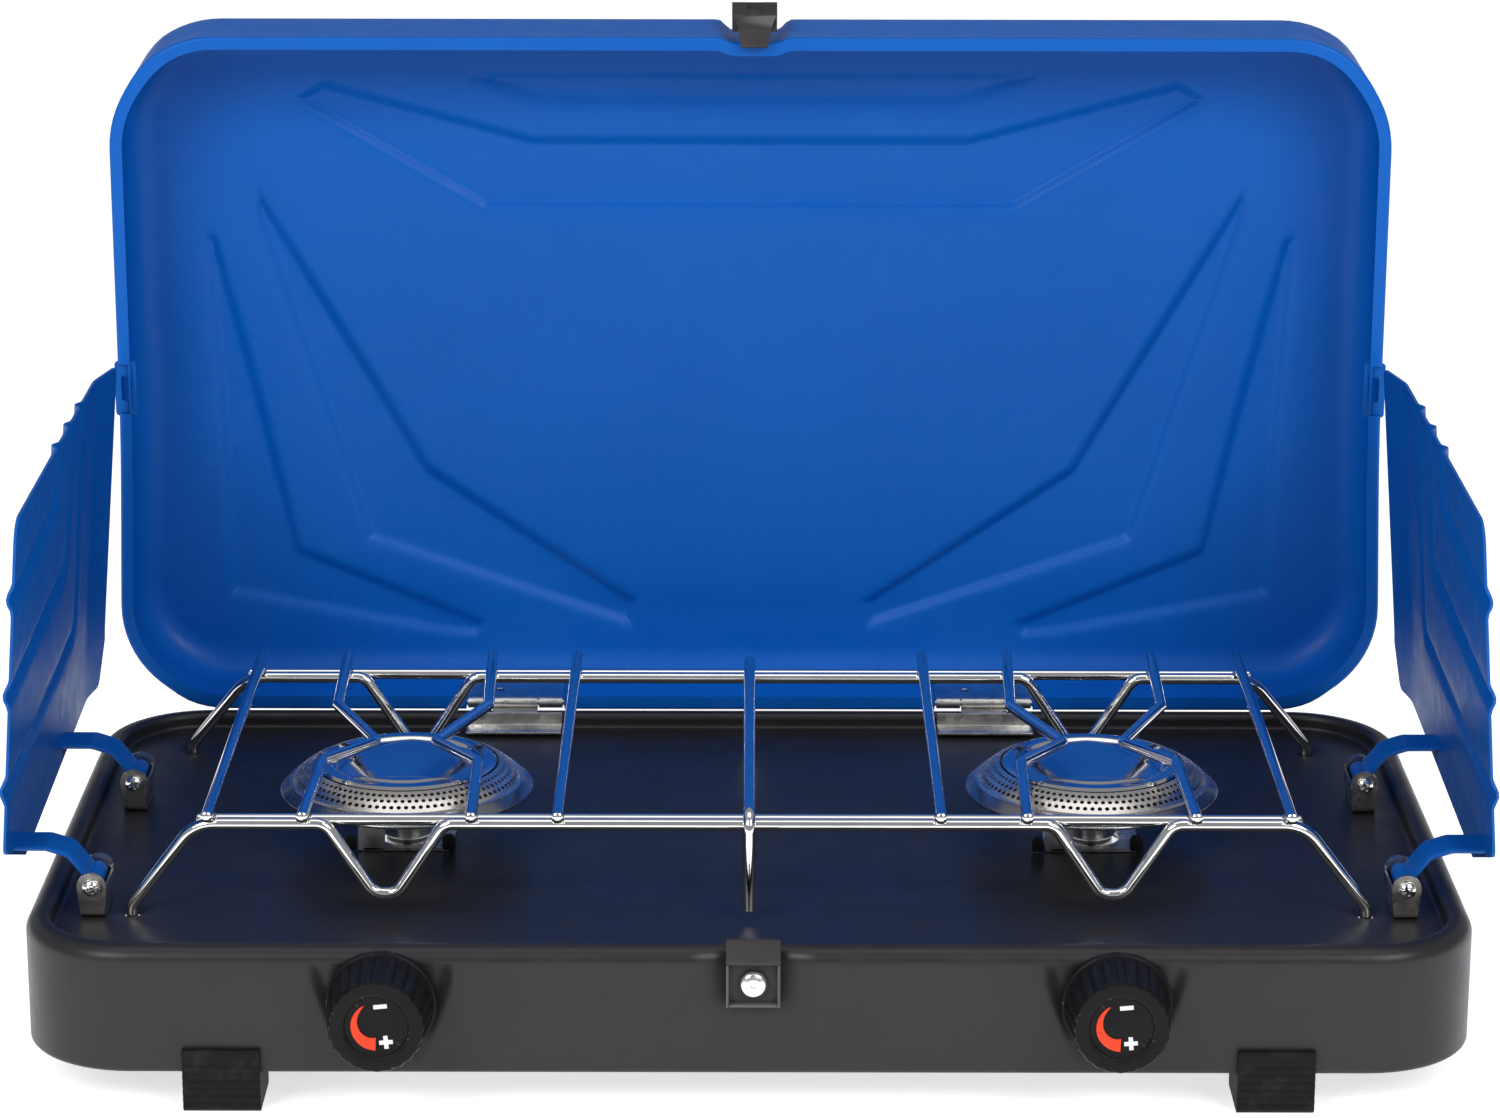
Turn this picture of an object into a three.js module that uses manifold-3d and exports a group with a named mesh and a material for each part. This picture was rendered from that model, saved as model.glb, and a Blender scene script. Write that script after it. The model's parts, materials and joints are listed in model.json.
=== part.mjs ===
// A two-burner propane camp stove, standing open and ready to cook.
// Millimetres, +X to the right, +Y to the back, +Z up, origin on the ground under its middle.

import * as THREE from "three";
import { mergeVertices } from "three/addons/utils/BufferGeometryUtils.js";
import Module from "manifold-3d";

const wasm = await Module();
wasm.setup();

// ---------------------------------------------------------------- driving dimensions

const sheet = 1;
const fit = 0.4; // air left between two pieces that touch
const baseWidth = 510;
const baseDepth = 272;
const baseCorner = 40;
const baseBottom = 13.4;
const deckTop = 53.5;
const shoulderTop = 59.5;
const shoulderWidth = 9;

const lidHalfWidth = 251.3;
const lidHalfDepth = 134;
const lidRim = 60.2; // height of the rim when the lid is shut
const lidTop = 102; // height of the panel when the lid is shut
const lidCorner = 42;
const lidEdgeRound = 13;
const hemWidth = 5;
const lidOpenAngle = Math.PI / 2;
const hinge = { y: 132.7, z: 62.5, x: 94, width: 38, middle: 18, knuckle: 2.3, pin: 1.1 };

const burner = { x: 127, y: -6, neck: 10, flange: 47.5, band: 41, cap: 33 };
const knob = { x: 127, z: 41, base: 20, face: 15.8, front: -158, back: -137 };
const stemRadius = 4;
const valve = { radius: 9, front: -134.6, back: -104, tip: -90 };
const manifoldPipe = { radius: 4.5, y: -112, z: 27 };
const inlet = { y: -60, z: 34, radius: 8, start: 233.4, end: 254.6 };

const screen = { pivotX: 232.8, pivotZ: 65, topX: 252.6, topZ: 203, lean: 4.4 };
const armCentres = [-79, 35];
const armWidth = 17;
const clevis = { width: 10.5, gap: 20, base: 22 };
const screwRadius = 1.6;

const wire = 2.2; // radius of the grate wires
const rail = { z: 87.6, front: -86, rear: 86, spacing: 4.7 };
const crossHeight = 92.4;
const latchX = 1.5;
const latchPivot = { y: 146, z: 334.7 };

const footSize = { x: 183, width: 27, height: 22.7, proud: 3, reach: 24 };

// The knobs stand proud at the front and the open lid at the back, so the middle of the
// whole stove lies a little behind the middle of its base.
const rearmost = hinge.y + lidTop - hinge.z;
const middleY = (rearmost + knob.front) / 2;

// ---------------------------------------------------------------- materials

function finish(color, roughness, metalness) {
  return new THREE.MeshStandardMaterial({ color, roughness, metalness });
}

const bluePaint = finish(0x1450b4, 0.45, 0.1);
const charcoalPaint = finish(0x34353a, 0.5, 0.3);
const chromeWire = finish(0xd9dbdd, 0.12, 1);
const mirrorSteel = finish(0xc9cbd0, 0.15, 1);
const zincSteel = finish(0xa9a8a2, 0.4, 1);
const brass = finish(0xb79a4e, 0.35, 1);
const aluminium = finish(0xd8d8da, 0.3, 1);
const blackPlastic = finish(0x1d1e20, 0.5, 0);
const blackRubber = finish(0x161618, 0.8, 0);

// ---------------------------------------------------------------- shape helpers

// Shared vertices, no collapsed faces, and every face pointing out.
function closedBody(geometry) {
  const bare = geometry.index ? geometry.toNonIndexed() : geometry.clone();
  bare.deleteAttribute("normal");
  bare.deleteAttribute("uv");
  bare.clearGroups();
  const merged = mergeVertices(bare, 1e-4);
  const place = merged.attributes.position;
  const index = merged.index.array;
  const kept = [];
  let volume = 0;
  const [a, b, c] = [new THREE.Vector3(), new THREE.Vector3(), new THREE.Vector3()];
  for (let i = 0; i < index.length; i += 3) {
    const [p, q, r] = [index[i], index[i + 1], index[i + 2]];
    if (p === q || q === r || r === p) continue;
    kept.push(p, q, r);
    a.fromBufferAttribute(place, p);
    b.fromBufferAttribute(place, q);
    c.fromBufferAttribute(place, r);
    volume += a.dot(b.cross(c));
  }
  merged.setIndex(volume > 0 ? kept : kept.reverse());
  return merged;
}

function asSolid(geometry) {
  const body = closedBody(geometry);
  const mesh = new wasm.Mesh({
    numProp: 3,
    vertProperties: Float32Array.from(body.attributes.position.array),
    triVerts: Uint32Array.from(body.index.array),
  });
  return new wasm.Manifold(mesh);
}

function asGeometry(solid) {
  const mesh = solid.getMesh();
  const geometry = new THREE.BufferGeometry();
  geometry.setAttribute("position", new THREE.BufferAttribute(mesh.vertProperties, 3));
  geometry.setIndex(new THREE.BufferAttribute(mesh.triVerts, 1));
  return geometry;
}

// The first piece with the added ones joined on and the cutters taken away.
function combine(first, { add = [], cut = [] }) {
  let solid = asSolid(first);
  for (const piece of add) solid = solid.add(asSolid(piece));
  for (const piece of cut) solid = solid.subtract(asSolid(piece));
  return asGeometry(solid);
}

function block(low, high) {
  const size = high.map((value, axis) => value - low[axis]);
  const middle = high.map((value, axis) => (value + low[axis]) / 2);
  return new THREE.BoxGeometry(...size).translate(...middle);
}

// A turned piece from its [radius, distance along the axis] outline.
function turned(outline, axis, sides = 24) {
  const geometry = new THREE.LatheGeometry(outline.map(([r, h]) => new THREE.Vector2(r, h)), sides);
  if (axis === "z") geometry.rotateX(Math.PI / 2);
  if (axis === "x") geometry.rotateZ(-Math.PI / 2);
  return geometry;
}

function rod(radius, from, to, axis, sides = 16) {
  return turned([[0, from], [radius, from], [radius, to], [0, to]], axis, sides);
}

// An outline in the Y-Z plane, pushed along X and centred on x = 0.
function alongX(outline, width) {
  const shape = new THREE.Shape(outline.map(([y, z]) => new THREE.Vector2(y, z)));
  const geometry = new THREE.ExtrudeGeometry(shape, { depth: width, bevelEnabled: false });
  const [x, y, z] = [[1, 0, 0], [0, 1, 0], [0, 0, 1]].map((v) => new THREE.Vector3(...v));
  geometry.translate(0, 0, -width / 2);
  return geometry.applyMatrix4(new THREE.Matrix4().makeBasis(y, z, x));
}

// An outline in the X-Z plane, pushed along Y and centred on y = 0.
function alongY(outline, width) {
  const shape = new THREE.Shape(outline.map(([x, z]) => new THREE.Vector2(x, z)));
  const geometry = new THREE.ExtrudeGeometry(shape, { depth: width, bevelEnabled: false });
  const [x, z, back] = [[1, 0, 0], [0, 0, 1], [0, -1, 0]].map((v) => new THREE.Vector3(...v));
  geometry.translate(0, 0, -width / 2);
  return geometry.applyMatrix4(new THREE.Matrix4().makeBasis(x, z, back));
}

// A path of [x, y, z, radius] corners, each given radius turned into an arc.
function rounded(corners, steps = 3) {
  const points = [];
  const at = (k) => new THREE.Vector3(...corners[k].slice(0, 3));
  corners.forEach((corner, k) => {
    const radius = corner[3];
    if (!radius) {
      points.push(at(k));
      return;
    }
    const toLast = at(k - 1).sub(at(k)).normalize();
    const toNext = at(k + 1).sub(at(k)).normalize();
    const half = toLast.angleTo(toNext) / 2;
    const reach = radius / Math.tan(half);
    const middle = toLast.clone().add(toNext).setLength(radius / Math.sin(half)).add(at(k));
    const start = toLast.multiplyScalar(reach).add(at(k)).sub(middle);
    const end = toNext.multiplyScalar(reach).add(at(k)).sub(middle);
    const sweep = start.angleTo(end);
    for (let step = 0; step <= steps; step += 1) {
      const t = step / steps;
      const point = start.clone().multiplyScalar(Math.sin((1 - t) * sweep) / Math.sin(sweep));
      point.addScaledVector(end, Math.sin(t * sweep) / Math.sin(sweep));
      points.push(point.add(middle));
    }
  });
  return points;
}

// A curve that an extrusion follows from point to point, mitred at each one.
class BentPath extends THREE.Curve {
  constructor(points) {
    super();
    this.points = points;
  }

  getPointAt(t) {
    const last = this.points.length - 1;
    const before = Math.min(Math.floor(t * last + 1e-6), last - 1);
    return this.points[before].clone().lerp(this.points[before + 1], t * last - before);
  }

  getTangentAt(t) {
    const last = this.points.length - 1;
    const here = Math.round(t * last);
    const leg = (k) => this.points[k + 1].clone().sub(this.points[k]).normalize();
    const arriving = leg(Math.max(here - 1, 0));
    const leaving = leg(Math.min(here, last - 1));
    return arriving.add(leaving).normalize();
  }
}

function circle(radius, sides) {
  return Array.from({ length: sides }, (_, k) => {
    const angle = (2 * Math.PI * k) / sides;
    return new THREE.Vector2(radius * Math.cos(angle), radius * Math.sin(angle));
  });
}

function bentWire(corners, radius = wire, sides = 8) {
  const path = new BentPath(rounded(corners));
  const section = new THREE.Shape(circle(radius, sides));
  return new THREE.ExtrudeGeometry(section, { steps: path.points.length - 1, extrudePath: path });
}

// The two sides of a thin sheet whose outer side is the given path.
function thickened(path, thickness) {
  const inner = path.map((point, k) => {
    const before = path[Math.max(k - 1, 0)];
    const after = path[Math.min(k + 1, path.length - 1)];
    const arriving = point.clone().sub(before);
    const leaving = after.clone().sub(point);
    if (!arriving.length()) arriving.copy(leaving);
    if (!leaving.length()) leaving.copy(arriving);
    const along = arriving.normalize().clone().add(leaving.normalize()).normalize();
    const miter = thickness / along.dot(leaving);
    return new THREE.Vector3(point.x - along.y * miter, point.y + along.x * miter, 0);
  });
  return [...path, ...inner.reverse()];
}

function roundedRectangle(halfX, halfY, radius, steps = 6) {
  const signs = [[1, 1], [-1, 1], [-1, -1], [1, -1]];
  return signs.flatMap(([signX, signY], quarter) =>
    Array.from({ length: steps + 1 }, (_, step) => {
      const angle = ((quarter + step / steps) * Math.PI) / 2;
      const x = signX * (halfX - radius) + radius * Math.cos(angle);
      return [x, signY * (halfY - radius) + radius * Math.sin(angle)];
    })
  );
}

// A pressed tray: its cross-section is a list of points (inset from the edge, height) that
// starts and ends over the middle of the tray.
function pressedTray(halfX, halfY, corner, section) {
  const rings = section.map(({ x: inset, y: z }) =>
    roundedRectangle(halfX - inset, halfY - inset, corner - inset).map(([x, y]) => [x, y, z])
  );
  const count = rings[0].length;
  const top = [0, 0, section[0].y];
  const bottom = [0, 0, section.at(-1).y];
  const faces = [];
  for (let k = 0; k < count; k += 1) {
    const next = (k + 1) % count;
    faces.push(top, rings[0][k], rings[0][next]);
    faces.push(bottom, rings.at(-1)[next], rings.at(-1)[k]);
    for (let ring = 0; ring < rings.length - 1; ring += 1) {
      const [here, below] = [rings[ring], rings[ring + 1]];
      faces.push(here[k], below[k], below[next]);
      faces.push(here[k], below[next], here[next]);
    }
  }
  const geometry = new THREE.BufferGeometry();
  return geometry.setAttribute("position", new THREE.Float32BufferAttribute(faces.flat(), 3));
}

function piece(name, geometry, material, place = [0, 0, 0]) {
  const mesh = new THREE.Mesh(closedBody(geometry), material);
  mesh.name = name;
  mesh.position.set(...place);
  return mesh;
}

const sides = [["left", -1], ["right", 1]];

// ---------------------------------------------------------------- base

function baseShell() {
  const section = rounded([
    [shoulderWidth + 3, deckTop, 0],
    [shoulderWidth, deckTop, 0, 1.5],
    [shoulderWidth, shoulderTop, 0, 2.6],
    [0, shoulderTop, 0, 5.8],
    [0, baseBottom, 0, 2],
    [shoulderWidth, baseBottom, 0],
  ]);
  const shell = pressedTray(baseWidth / 2, baseDepth / 2, baseCorner, thickened(section, sheet));
  const wall = [-baseDepth / 2 - 2, -baseDepth / 2 + 4];
  const deck = [deckTop - 4, deckTop + 2];
  const cut = [
    rod(inlet.radius + 1, baseWidth / 2 - 4, baseWidth / 2 + 2, "x").translate(0, inlet.y, inlet.z),
    rod(2.4, ...wall, "y").translate(latchX, 0, catchRivetZ),
  ];
  for (const [, sign] of sides) {
    cut.push(rod(stemRadius + 2, ...wall, "y").translate(sign * knob.x, 0, knob.z));
    cut.push(rod(burner.neck + 1.5, ...deck, "z").translate(sign * burner.x, burner.y, 0));
    for (const y of [frontFootY, rearFootY]) {
      cut.push(rod(wire + 1, ...deck, "z", 10).translate(sign * gratefootX, y, 0));
    }
  }
  return combine(shell, { cut });
}

// A rubber foot that wraps the bottom edge of the wall, seen from the side of the stove.
function foot(front) {
  const wall = baseDepth / 2;
  const outline = [
    [wall + footSize.proud, 0],
    [wall + footSize.proud, footSize.height],
    [wall + fit, footSize.height],
    [wall + fit, baseBottom - fit],
    [wall - footSize.reach, baseBottom - fit],
    [wall - footSize.reach, 0],
  ];
  return alongX(outline.map(([y, z]) => [front ? -y : y, z]), footSize.width);
}

const catchRivetZ = 47.8;

// The catch plate with the sloping nose that the latch hooks under.
function latchCatch() {
  const face = -baseDepth / 2 - fit;
  const plate = alongX([
    [face, 40.4], [face, 55], [-132.6, 61.9], [-133.4, 62.5], [-134.4, 62.4],
    [-141, 55.6], [-140.6, 54.8], [-138, 54.6], [-138, 40.4],
  ], 20);
  return combine(plate, { cut: [rod(2.4, -146, -130, "y").translate(0, 0, catchRivetZ)] });
}

function catchRivet() {
  const outline = [
    [0, -140.4], [3.4, -140.2], [4.5, -139.2], [4.5, -138.4], [2, -138.4],
    [2, -134.6], [3.4, -134.6], [3, -133.4], [0, -133.4],
  ];
  return turned(outline, "y", 16);
}

// A clevis: a foot on the deck with two round-topped ears, its screw hole at the origin.
function windscreenBracket() {
  const half = clevis.width / 2;
  const bottom = deckTop + fit - screen.pivotZ;
  const arch = Array.from({ length: 9 }, (_, k) => {
    const angle = (Math.PI * k) / 8;
    return [half * Math.cos(angle), half * Math.sin(angle)];
  });
  const cheek = () => alongY([[half, bottom], ...arch, [-half, bottom]], clevis.base);
  const room = block([-half - 1, -clevis.gap / 2, bottom + sheet], [half + 1, clevis.gap / 2, half + 1]);
  const hole = rod(screwRadius + 0.35, -clevis.base, clevis.base, "y", 12);
  return combine(cheek(), { cut: [room, hole] });
}

// Screw and nut, turned as one piece: it is the pivot that the windscreen folds about.
function windscreenScrew() {
  const ear = clevis.base / 2;
  const outline = [
    [0, -ear - 2.6], [2, -ear - 2.4], [3.2, -ear - 1.4], [3.2, -ear - 0.3], [screwRadius, -ear - 0.3],
    [screwRadius, ear + 0.3], [3.3, ear + 0.3], [3.3, ear + 2.6], [screwRadius, ear + 2.6],
    [screwRadius, ear + 4], [0, ear + 4],
  ];
  return turned(outline, "y", 12);
}

// The hinge's lower leaf: screwed to the deck, up the shoulder, over it to the barrel.
function baseHingeLeaf() {
  const deck = deckTop + fit;
  const ledge = shoulderTop + fit;
  const leaf = alongX([
    [114, deck], [125.8, deck], [125.8, ledge], [124.8, ledge], [124.8, deck + sheet], [114, deck + sheet],
  ], hinge.width);
  const strap = block([-hinge.middle / 2, 124.8, ledge], [hinge.middle / 2, hinge.y, ledge + 0.9]);
  const joiner = block([-hinge.middle / 2, 124.8, ledge - 1], [hinge.middle / 2, 125.8, ledge + 0.9]);
  const barrel = rod(hinge.knuckle, -hinge.middle / 2, hinge.middle / 2, "x").translate(0, hinge.y, hinge.z);
  const bore = rod(hinge.pin + 0.35, -hinge.width, hinge.width, "x").translate(0, hinge.y, hinge.z);
  return combine(leaf, { add: [joiner, strap, barrel], cut: [bore] });
}

function hingePin() {
  const half = hinge.width / 2 + 0.6;
  return rod(hinge.pin, -half, half, "x", 12);
}

// ---------------------------------------------------------------- gas train and burners

function gasManifold() {
  const { radius, y, z } = manifoldPipe;
  const turn = inlet.start - 20;
  return bentWire([
    [-knob.x - 14, y, z], [turn, y, z, 10], [turn, inlet.y, inlet.z, 10],
    [inlet.start - fit, inlet.y, inlet.z],
  ], radius, 10);
}

function inletFitting() {
  const { radius, start, end } = inlet;
  const outline = [
    [0, start], [6, start], [6, start + 6], [radius, start + 6], [radius, end],
    [4.5, end], [4.5, end - 9], [0, end - 9],
  ];
  return turned(outline, "x", 12);
}

function valveBody() {
  const { radius, front, back, tip } = valve;
  const bore = stemRadius + fit;
  const outline = [
    [bore, front], [radius, front], [radius, back], [3, back], [2, tip], [0, tip],
    [0, front + 7], [bore, front + 7], [bore, front],
  ];
  return turned(outline, "y", 16);
}

function valveStem() {
  return rod(stemRadius, knob.front + 8.4, valve.front + 6.6, "y", 12);
}

// The open-ended mixing tube between the gas jet and the burner neck.
function venturiTube() {
  const end = burner.y - burner.neck - fit;
  const outline = [
    [8.5, -96], [9.5, -96], [9.5, -92], [8, -84], [8, end], [7, end], [7, -84], [8.5, -92], [8.5, -96],
  ];
  return turned(outline, "y", 16);
}

// A strip on the deck that the burner neck stands in, with a stiffening tab on each side.
function burnerBracket() {
  const low = deckTop + fit;
  const strip = block([-17.5, -14, low], [17.5, 14, low + sheet]);
  const tabs = sides.map(([, sign]) => {
    const [near, far] = [11.5 * sign, 17.5 * sign].sort((a, b) => a - b);
    return block([near, -14, low], [far, -13, low + 11]);
  });
  const hole = rod(burner.neck + 0.6, low - 2, low + 12, "z");
  return combine(strip, { add: tabs, cut: [hole] });
}

function burnerBase() {
  const { neck, flange, band } = burner;
  const outline = [
    [0, 33], [neck, 33], [neck, 67], [neck + 4, 69.5], [flange - 4, 73.6], [flange, 74.6],
    [flange, 75.5], [band, 79], [band - 1, 78.4], [flange - 2.4, 75.1], [neck + 2, 70], [neck - 1, 67],
    [neck - 1, 34.5], [0, 34.5],
  ];
  return turned(outline, "z", 28);
}

function burnerRing() {
  const { band, cap } = burner;
  return turned([[band, 79.4], [cap + 0.4, 83.2], [cap - 0.6, 83.2], [band - 1.4, 79.4], [band, 79.4]], "z", 28);
}

function burnerCap() {
  const { cap } = burner;
  return turned([[0, 83.5], [cap, 83.5], [cap + 0.3, 84], [cap - 1.5, 84.9], [0, 84.9]], "z", 28);
}

function knobBody() {
  const { base, face, front, back } = knob;
  const bore = stemRadius + fit;
  const outline = [
    [0, front], [face - 1.6, front], [face, front + 1.6], [base - 1.4, back - 7], [base, back - 3],
    [base, back], [bore, back], [bore, front + 8], [0, front + 8],
  ];
  return turned(outline, "y", 24);
}

// ---------------------------------------------------------------- grate

const gratefootX = 219.5;
const frontFootY = -83.5;
const rearFootY = 98;
const railHalf = 196;
const dip = { x: 131, halfTop: 24, halfBottom: 4, z: 61.5 };

// A wire bent into a rail with a leg at each end and a V that dips towards each burner.
function formedWire(railY, footY) {
  const ground = deckTop - 4;
  const leg = [
    [gratefootX, footY, ground],
    [gratefootX, footY, deckTop + 4, 5],
    [railHalf, railY, rail.z, 8],
  ];
  const dips = [
    [dip.x + dip.halfTop, railY, rail.z, 6],
    [dip.x + dip.halfBottom, railY, dip.z, 3.5],
    [dip.x - dip.halfBottom, railY, dip.z, 3.5],
    [dip.x - dip.halfTop, railY, rail.z, 6],
  ];
  const right = [...leg, ...dips];
  const left = right.map(([x, ...rest]) => [-x, ...rest]).reverse();
  return bentWire([...right, ...left]);
}

function straightBar() {
  return bentWire([[-railHalf, 0, 0], [railHalf, 0, 0]]);
}

const crossEnds = [-94, 101];

// The wires that cross each burner bend in towards it, so a small pan has something to sit on.
function burnerCrossWire(side, outer) {
  const [end, middle] = outer ? [157.5, 138] : [98, 116];
  const kink = outer ? 156 : 99;
  const bend = 3;
  return bentWire([
    [side * end, crossEnds[0], crossHeight],
    [side * kink, -32, crossHeight, bend],
    [side * middle, -8, crossHeight, bend],
    [side * kink, 36, crossHeight, bend],
    [side * (end + (outer ? 0 : 3)), crossEnds[1], crossHeight],
  ]);
}

function straightCrossWire(x) {
  return bentWire([[x, crossEnds[0], crossHeight], [x, crossEnds[1], crossHeight]]);
}

// The middle wire is an upside-down U, and its two legs stand on the deck.
function middleCrossWire() {
  const ground = deckTop + fit;
  return bentWire([
    [0, -91, ground], [0, -91, crossHeight, 6], [0, 97, crossHeight, 6], [0, 97, ground],
  ]);
}

// ---------------------------------------------------------------- lid, drawn shut

function lidShell() {
  const section = rounded([
    [lidEdgeRound + 4, lidTop, 0],
    [0, lidTop, 0, lidEdgeRound],
    [0, lidRim, 0, 1.5],
    [hemWidth, lidRim, 0],
  ]);
  const shell = pressedTray(lidHalfWidth, lidHalfDepth, lidCorner, thickened(section, sheet));
  const half = hinge.width / 2 + 0.7;
  const cut = [];
  for (const [, sign] of sides) {
    const x = sign * hinge.x;
    cut.push(block([x - half, hinge.y - 7, lidRim - 2], [x + half, lidHalfDepth + 2, hinge.z + 3.4]));
    const [near, far] = [sign * (lidHalfWidth - 7), sign * (lidHalfWidth - 1.4)].sort((a, b) => a - b);
    cut.push(block([near, clip.front + 1, lidRim - 2], [far, clip.back - 1, lidRim + sheet + 0.6]));
  }
  return combine(shell, { cut });
}

// The hinge's upper leaf lies inside the lid's rear wall.
function lidHingeLeaf() {
  const half = hinge.width / 2;
  const inner = hinge.middle / 2 + fit;
  const [front, back] = [lidHalfDepth - sheet - 1.4, lidHalfDepth - sheet - fit];
  const plate = block([-half, front, hinge.z + hinge.knuckle + 0.5], [half, back, hinge.z + 25]);
  const add = sides.flatMap(([, sign]) => {
    const [near, far] = [sign * inner, sign * half].sort((a, b) => a - b);
    const barrel = rod(hinge.knuckle, near, far, "x").translate(0, hinge.y, hinge.z);
    return [barrel, block([near, front, hinge.z + 1.6], [far, back, hinge.z + 4])];
  });
  const bore = rod(hinge.pin + 0.35, -hinge.width, hinge.width, "x").translate(0, hinge.y, hinge.z);
  const hole = rod(2, 120, 140, "y", 12).translate(-7, 0, hinge.z + 13);
  return combine(plate, { add, cut: [bore, hole] });
}

const clip = { front: -7.8, back: 14.2 };

// The slotted clip behind the lid's hem that holds a raised windscreen.
function windscreenClip(sign) {
  const [near, far] = [sign * (lidHalfWidth - 10), sign * (lidHalfWidth - 1.5)].sort((a, b) => a - b);
  const low = lidRim + sheet + fit;
  const plate = block([near, clip.front, low], [far, clip.back, low + 1.2]);
  const [slotNear, slotFar] = [sign * (lidHalfWidth - 8), sign * (lidHalfWidth - 4)].sort((a, b) => a - b);
  return combine(plate, { cut: [block([slotNear, -2, low - 1], [slotFar, 8, low + 3])] });
}

// ---------------------------------------------------------------- latch, drawn with the lid open

const lidOpenTop = hinge.z + lidHalfDepth + hinge.y;

function latchBracket() {
  const low = lidOpenTop + fit - latchPivot.z;
  const plate = block([-5.2, -8, low], [5.2, 9, low + sheet]);
  const add = sides.map(([, sign]) => {
    const [near, far] = [sign * 4.2, sign * 5.2].sort((a, b) => a - b);
    return block([near, -3, low], [far, 3, 2.6]);
  });
  return combine(plate, { add, cut: [rod(1.5, -12, 12, "x", 12)] });
}

function latchPin() {
  return rod(1.15, -8.2, 8.2, "x", 12);
}

// The lever: two cheeks on the pin, a thumb hump above them and the hook in front of the rim.
function latchLever() {
  const outline = [
    [3, -2.8], [3.4, 3], [1, 8], [-6, 9], [-12, 5.4], [-17.6, 0], [-20.4, -6.2],
    [-18.7, -6.6], [-16.9, -4.6], [-16.4, -3.2], [-12, -2.8],
  ];
  const body = alongX(outline, 17.4);
  const room = block([-6, -9, -8], [6, 6, 4.6]);
  return combine(body, { cut: [room, rod(1.5, -12, 12, "x", 12)] });
}

// ---------------------------------------------------------------- windscreens

// One side's panel with its two goose-neck arms, its pivot at the origin.
function windscreen(sign) {
  const lean = THREE.MathUtils.degToRad(screen.lean);
  const below = screen.topZ - screen.pivotZ;
  const outline = rounded([
    [-60, 66, 0], [113, 75, 0, 3], [123, 92, 0, 4], [125, screen.topZ, 0, 3],
    [-103, screen.topZ, 0, 7], [-103, 81.5, 0, 4], [-60, 66, 0],
  ]).slice(0, -1);
  const panel = alongX(outline.map(({ x, y }) => [x, y - screen.topZ]), sheet).translate(sheet / 2, 0, 0);
  panel.rotateY(-lean).translate(screen.topX - screen.pivotX, 0, below);
  const strap = rounded([
    [1.2, 2.2, 0], [8.5, 9.2, 0, 6], [17, 10.6, 0, 5],
    [screen.topX - screen.pivotX + (below - 10.6) * Math.tan(lean) + sheet / 2, 10.6, 0],
  ]);
  const arms = armCentres.flatMap((y) => [
    alongY(thickened(strap, 1.4).map((point) => [point.x, point.y - 0.7]), armWidth).translate(0, y, 0),
    rod(3.2, -armWidth / 2, armWidth / 2, "y", 14).translate(0, y, 0),
  ]);
  const bores = armCentres.map((y) => rod(screwRadius + 0.35, -12, 12, "y", 12).translate(0, y, 0));
  const right = combine(panel, { add: arms, cut: bores });
  return right.scale(sign, 1, 1);
}

// ---------------------------------------------------------------- the stove

const stove = new THREE.Group();
stove.position.y = -middleY;

const base = new THREE.Group();
base.add(piece("base_shell", baseShell(), charcoalPaint));
base.add(piece("latch_catch", latchCatch(), blackPlastic, [latchX, 0, 0]));
base.add(piece("catch_rivet", catchRivet(), aluminium, [latchX, 0, catchRivetZ]));
base.add(piece("gas_manifold", gasManifold(), zincSteel));
base.add(piece("inlet_fitting", inletFitting(), brass, [0, inlet.y, inlet.z]));

for (const [side, sign] of sides) {
  const burnerPlace = [sign * burner.x, burner.y, 0];
  const knobPlace = [sign * knob.x, 0, knob.z];
  base.add(piece(`foot_front_${side}`, foot(true), blackRubber, [sign * footSize.x, 0, 0]));
  base.add(piece(`foot_rear_${side}`, foot(false), blackRubber, [sign * footSize.x, 0, 0]));
  base.add(piece(`hinge_leaf_base_${side}`, baseHingeLeaf(), zincSteel, [sign * hinge.x, 0, 0]));
  base.add(piece(`hinge_pin_${side}`, hingePin(), zincSteel, [sign * hinge.x, hinge.y, hinge.z]));
  base.add(piece(`valve_body_${side}`, valveBody(), brass, knobPlace));
  base.add(piece(`valve_stem_${side}`, valveStem(), brass, knobPlace));
  base.add(piece(`knob_${side}`, knobBody(), blackPlastic, knobPlace));
  base.add(piece(`venturi_tube_${side}`, venturiTube(), zincSteel, knobPlace));
  base.add(piece(`burner_bracket_${side}`, burnerBracket(), zincSteel, burnerPlace));
  base.add(piece(`burner_base_${side}`, burnerBase(), mirrorSteel, burnerPlace));
  base.add(piece(`burner_ring_${side}`, burnerRing(), mirrorSteel, burnerPlace));
  base.add(piece(`burner_cap_${side}`, burnerCap(), mirrorSteel, burnerPlace));
  ["front", "rear"].forEach((end, k) => {
    const pivot = [sign * screen.pivotX, armCentres[k], screen.pivotZ];
    base.add(piece(`windscreen_bracket_${end}_${side}`, windscreenBracket(), zincSteel, pivot));
    base.add(piece(`windscreen_screw_${end}_${side}`, windscreenScrew(), zincSteel, pivot));
  });
  const pivot = [sign * screen.pivotX, 0, screen.pivotZ];
  base.add(piece(`windscreen_${side}`, windscreen(sign), bluePaint, pivot));
}
stove.add(base);

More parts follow.
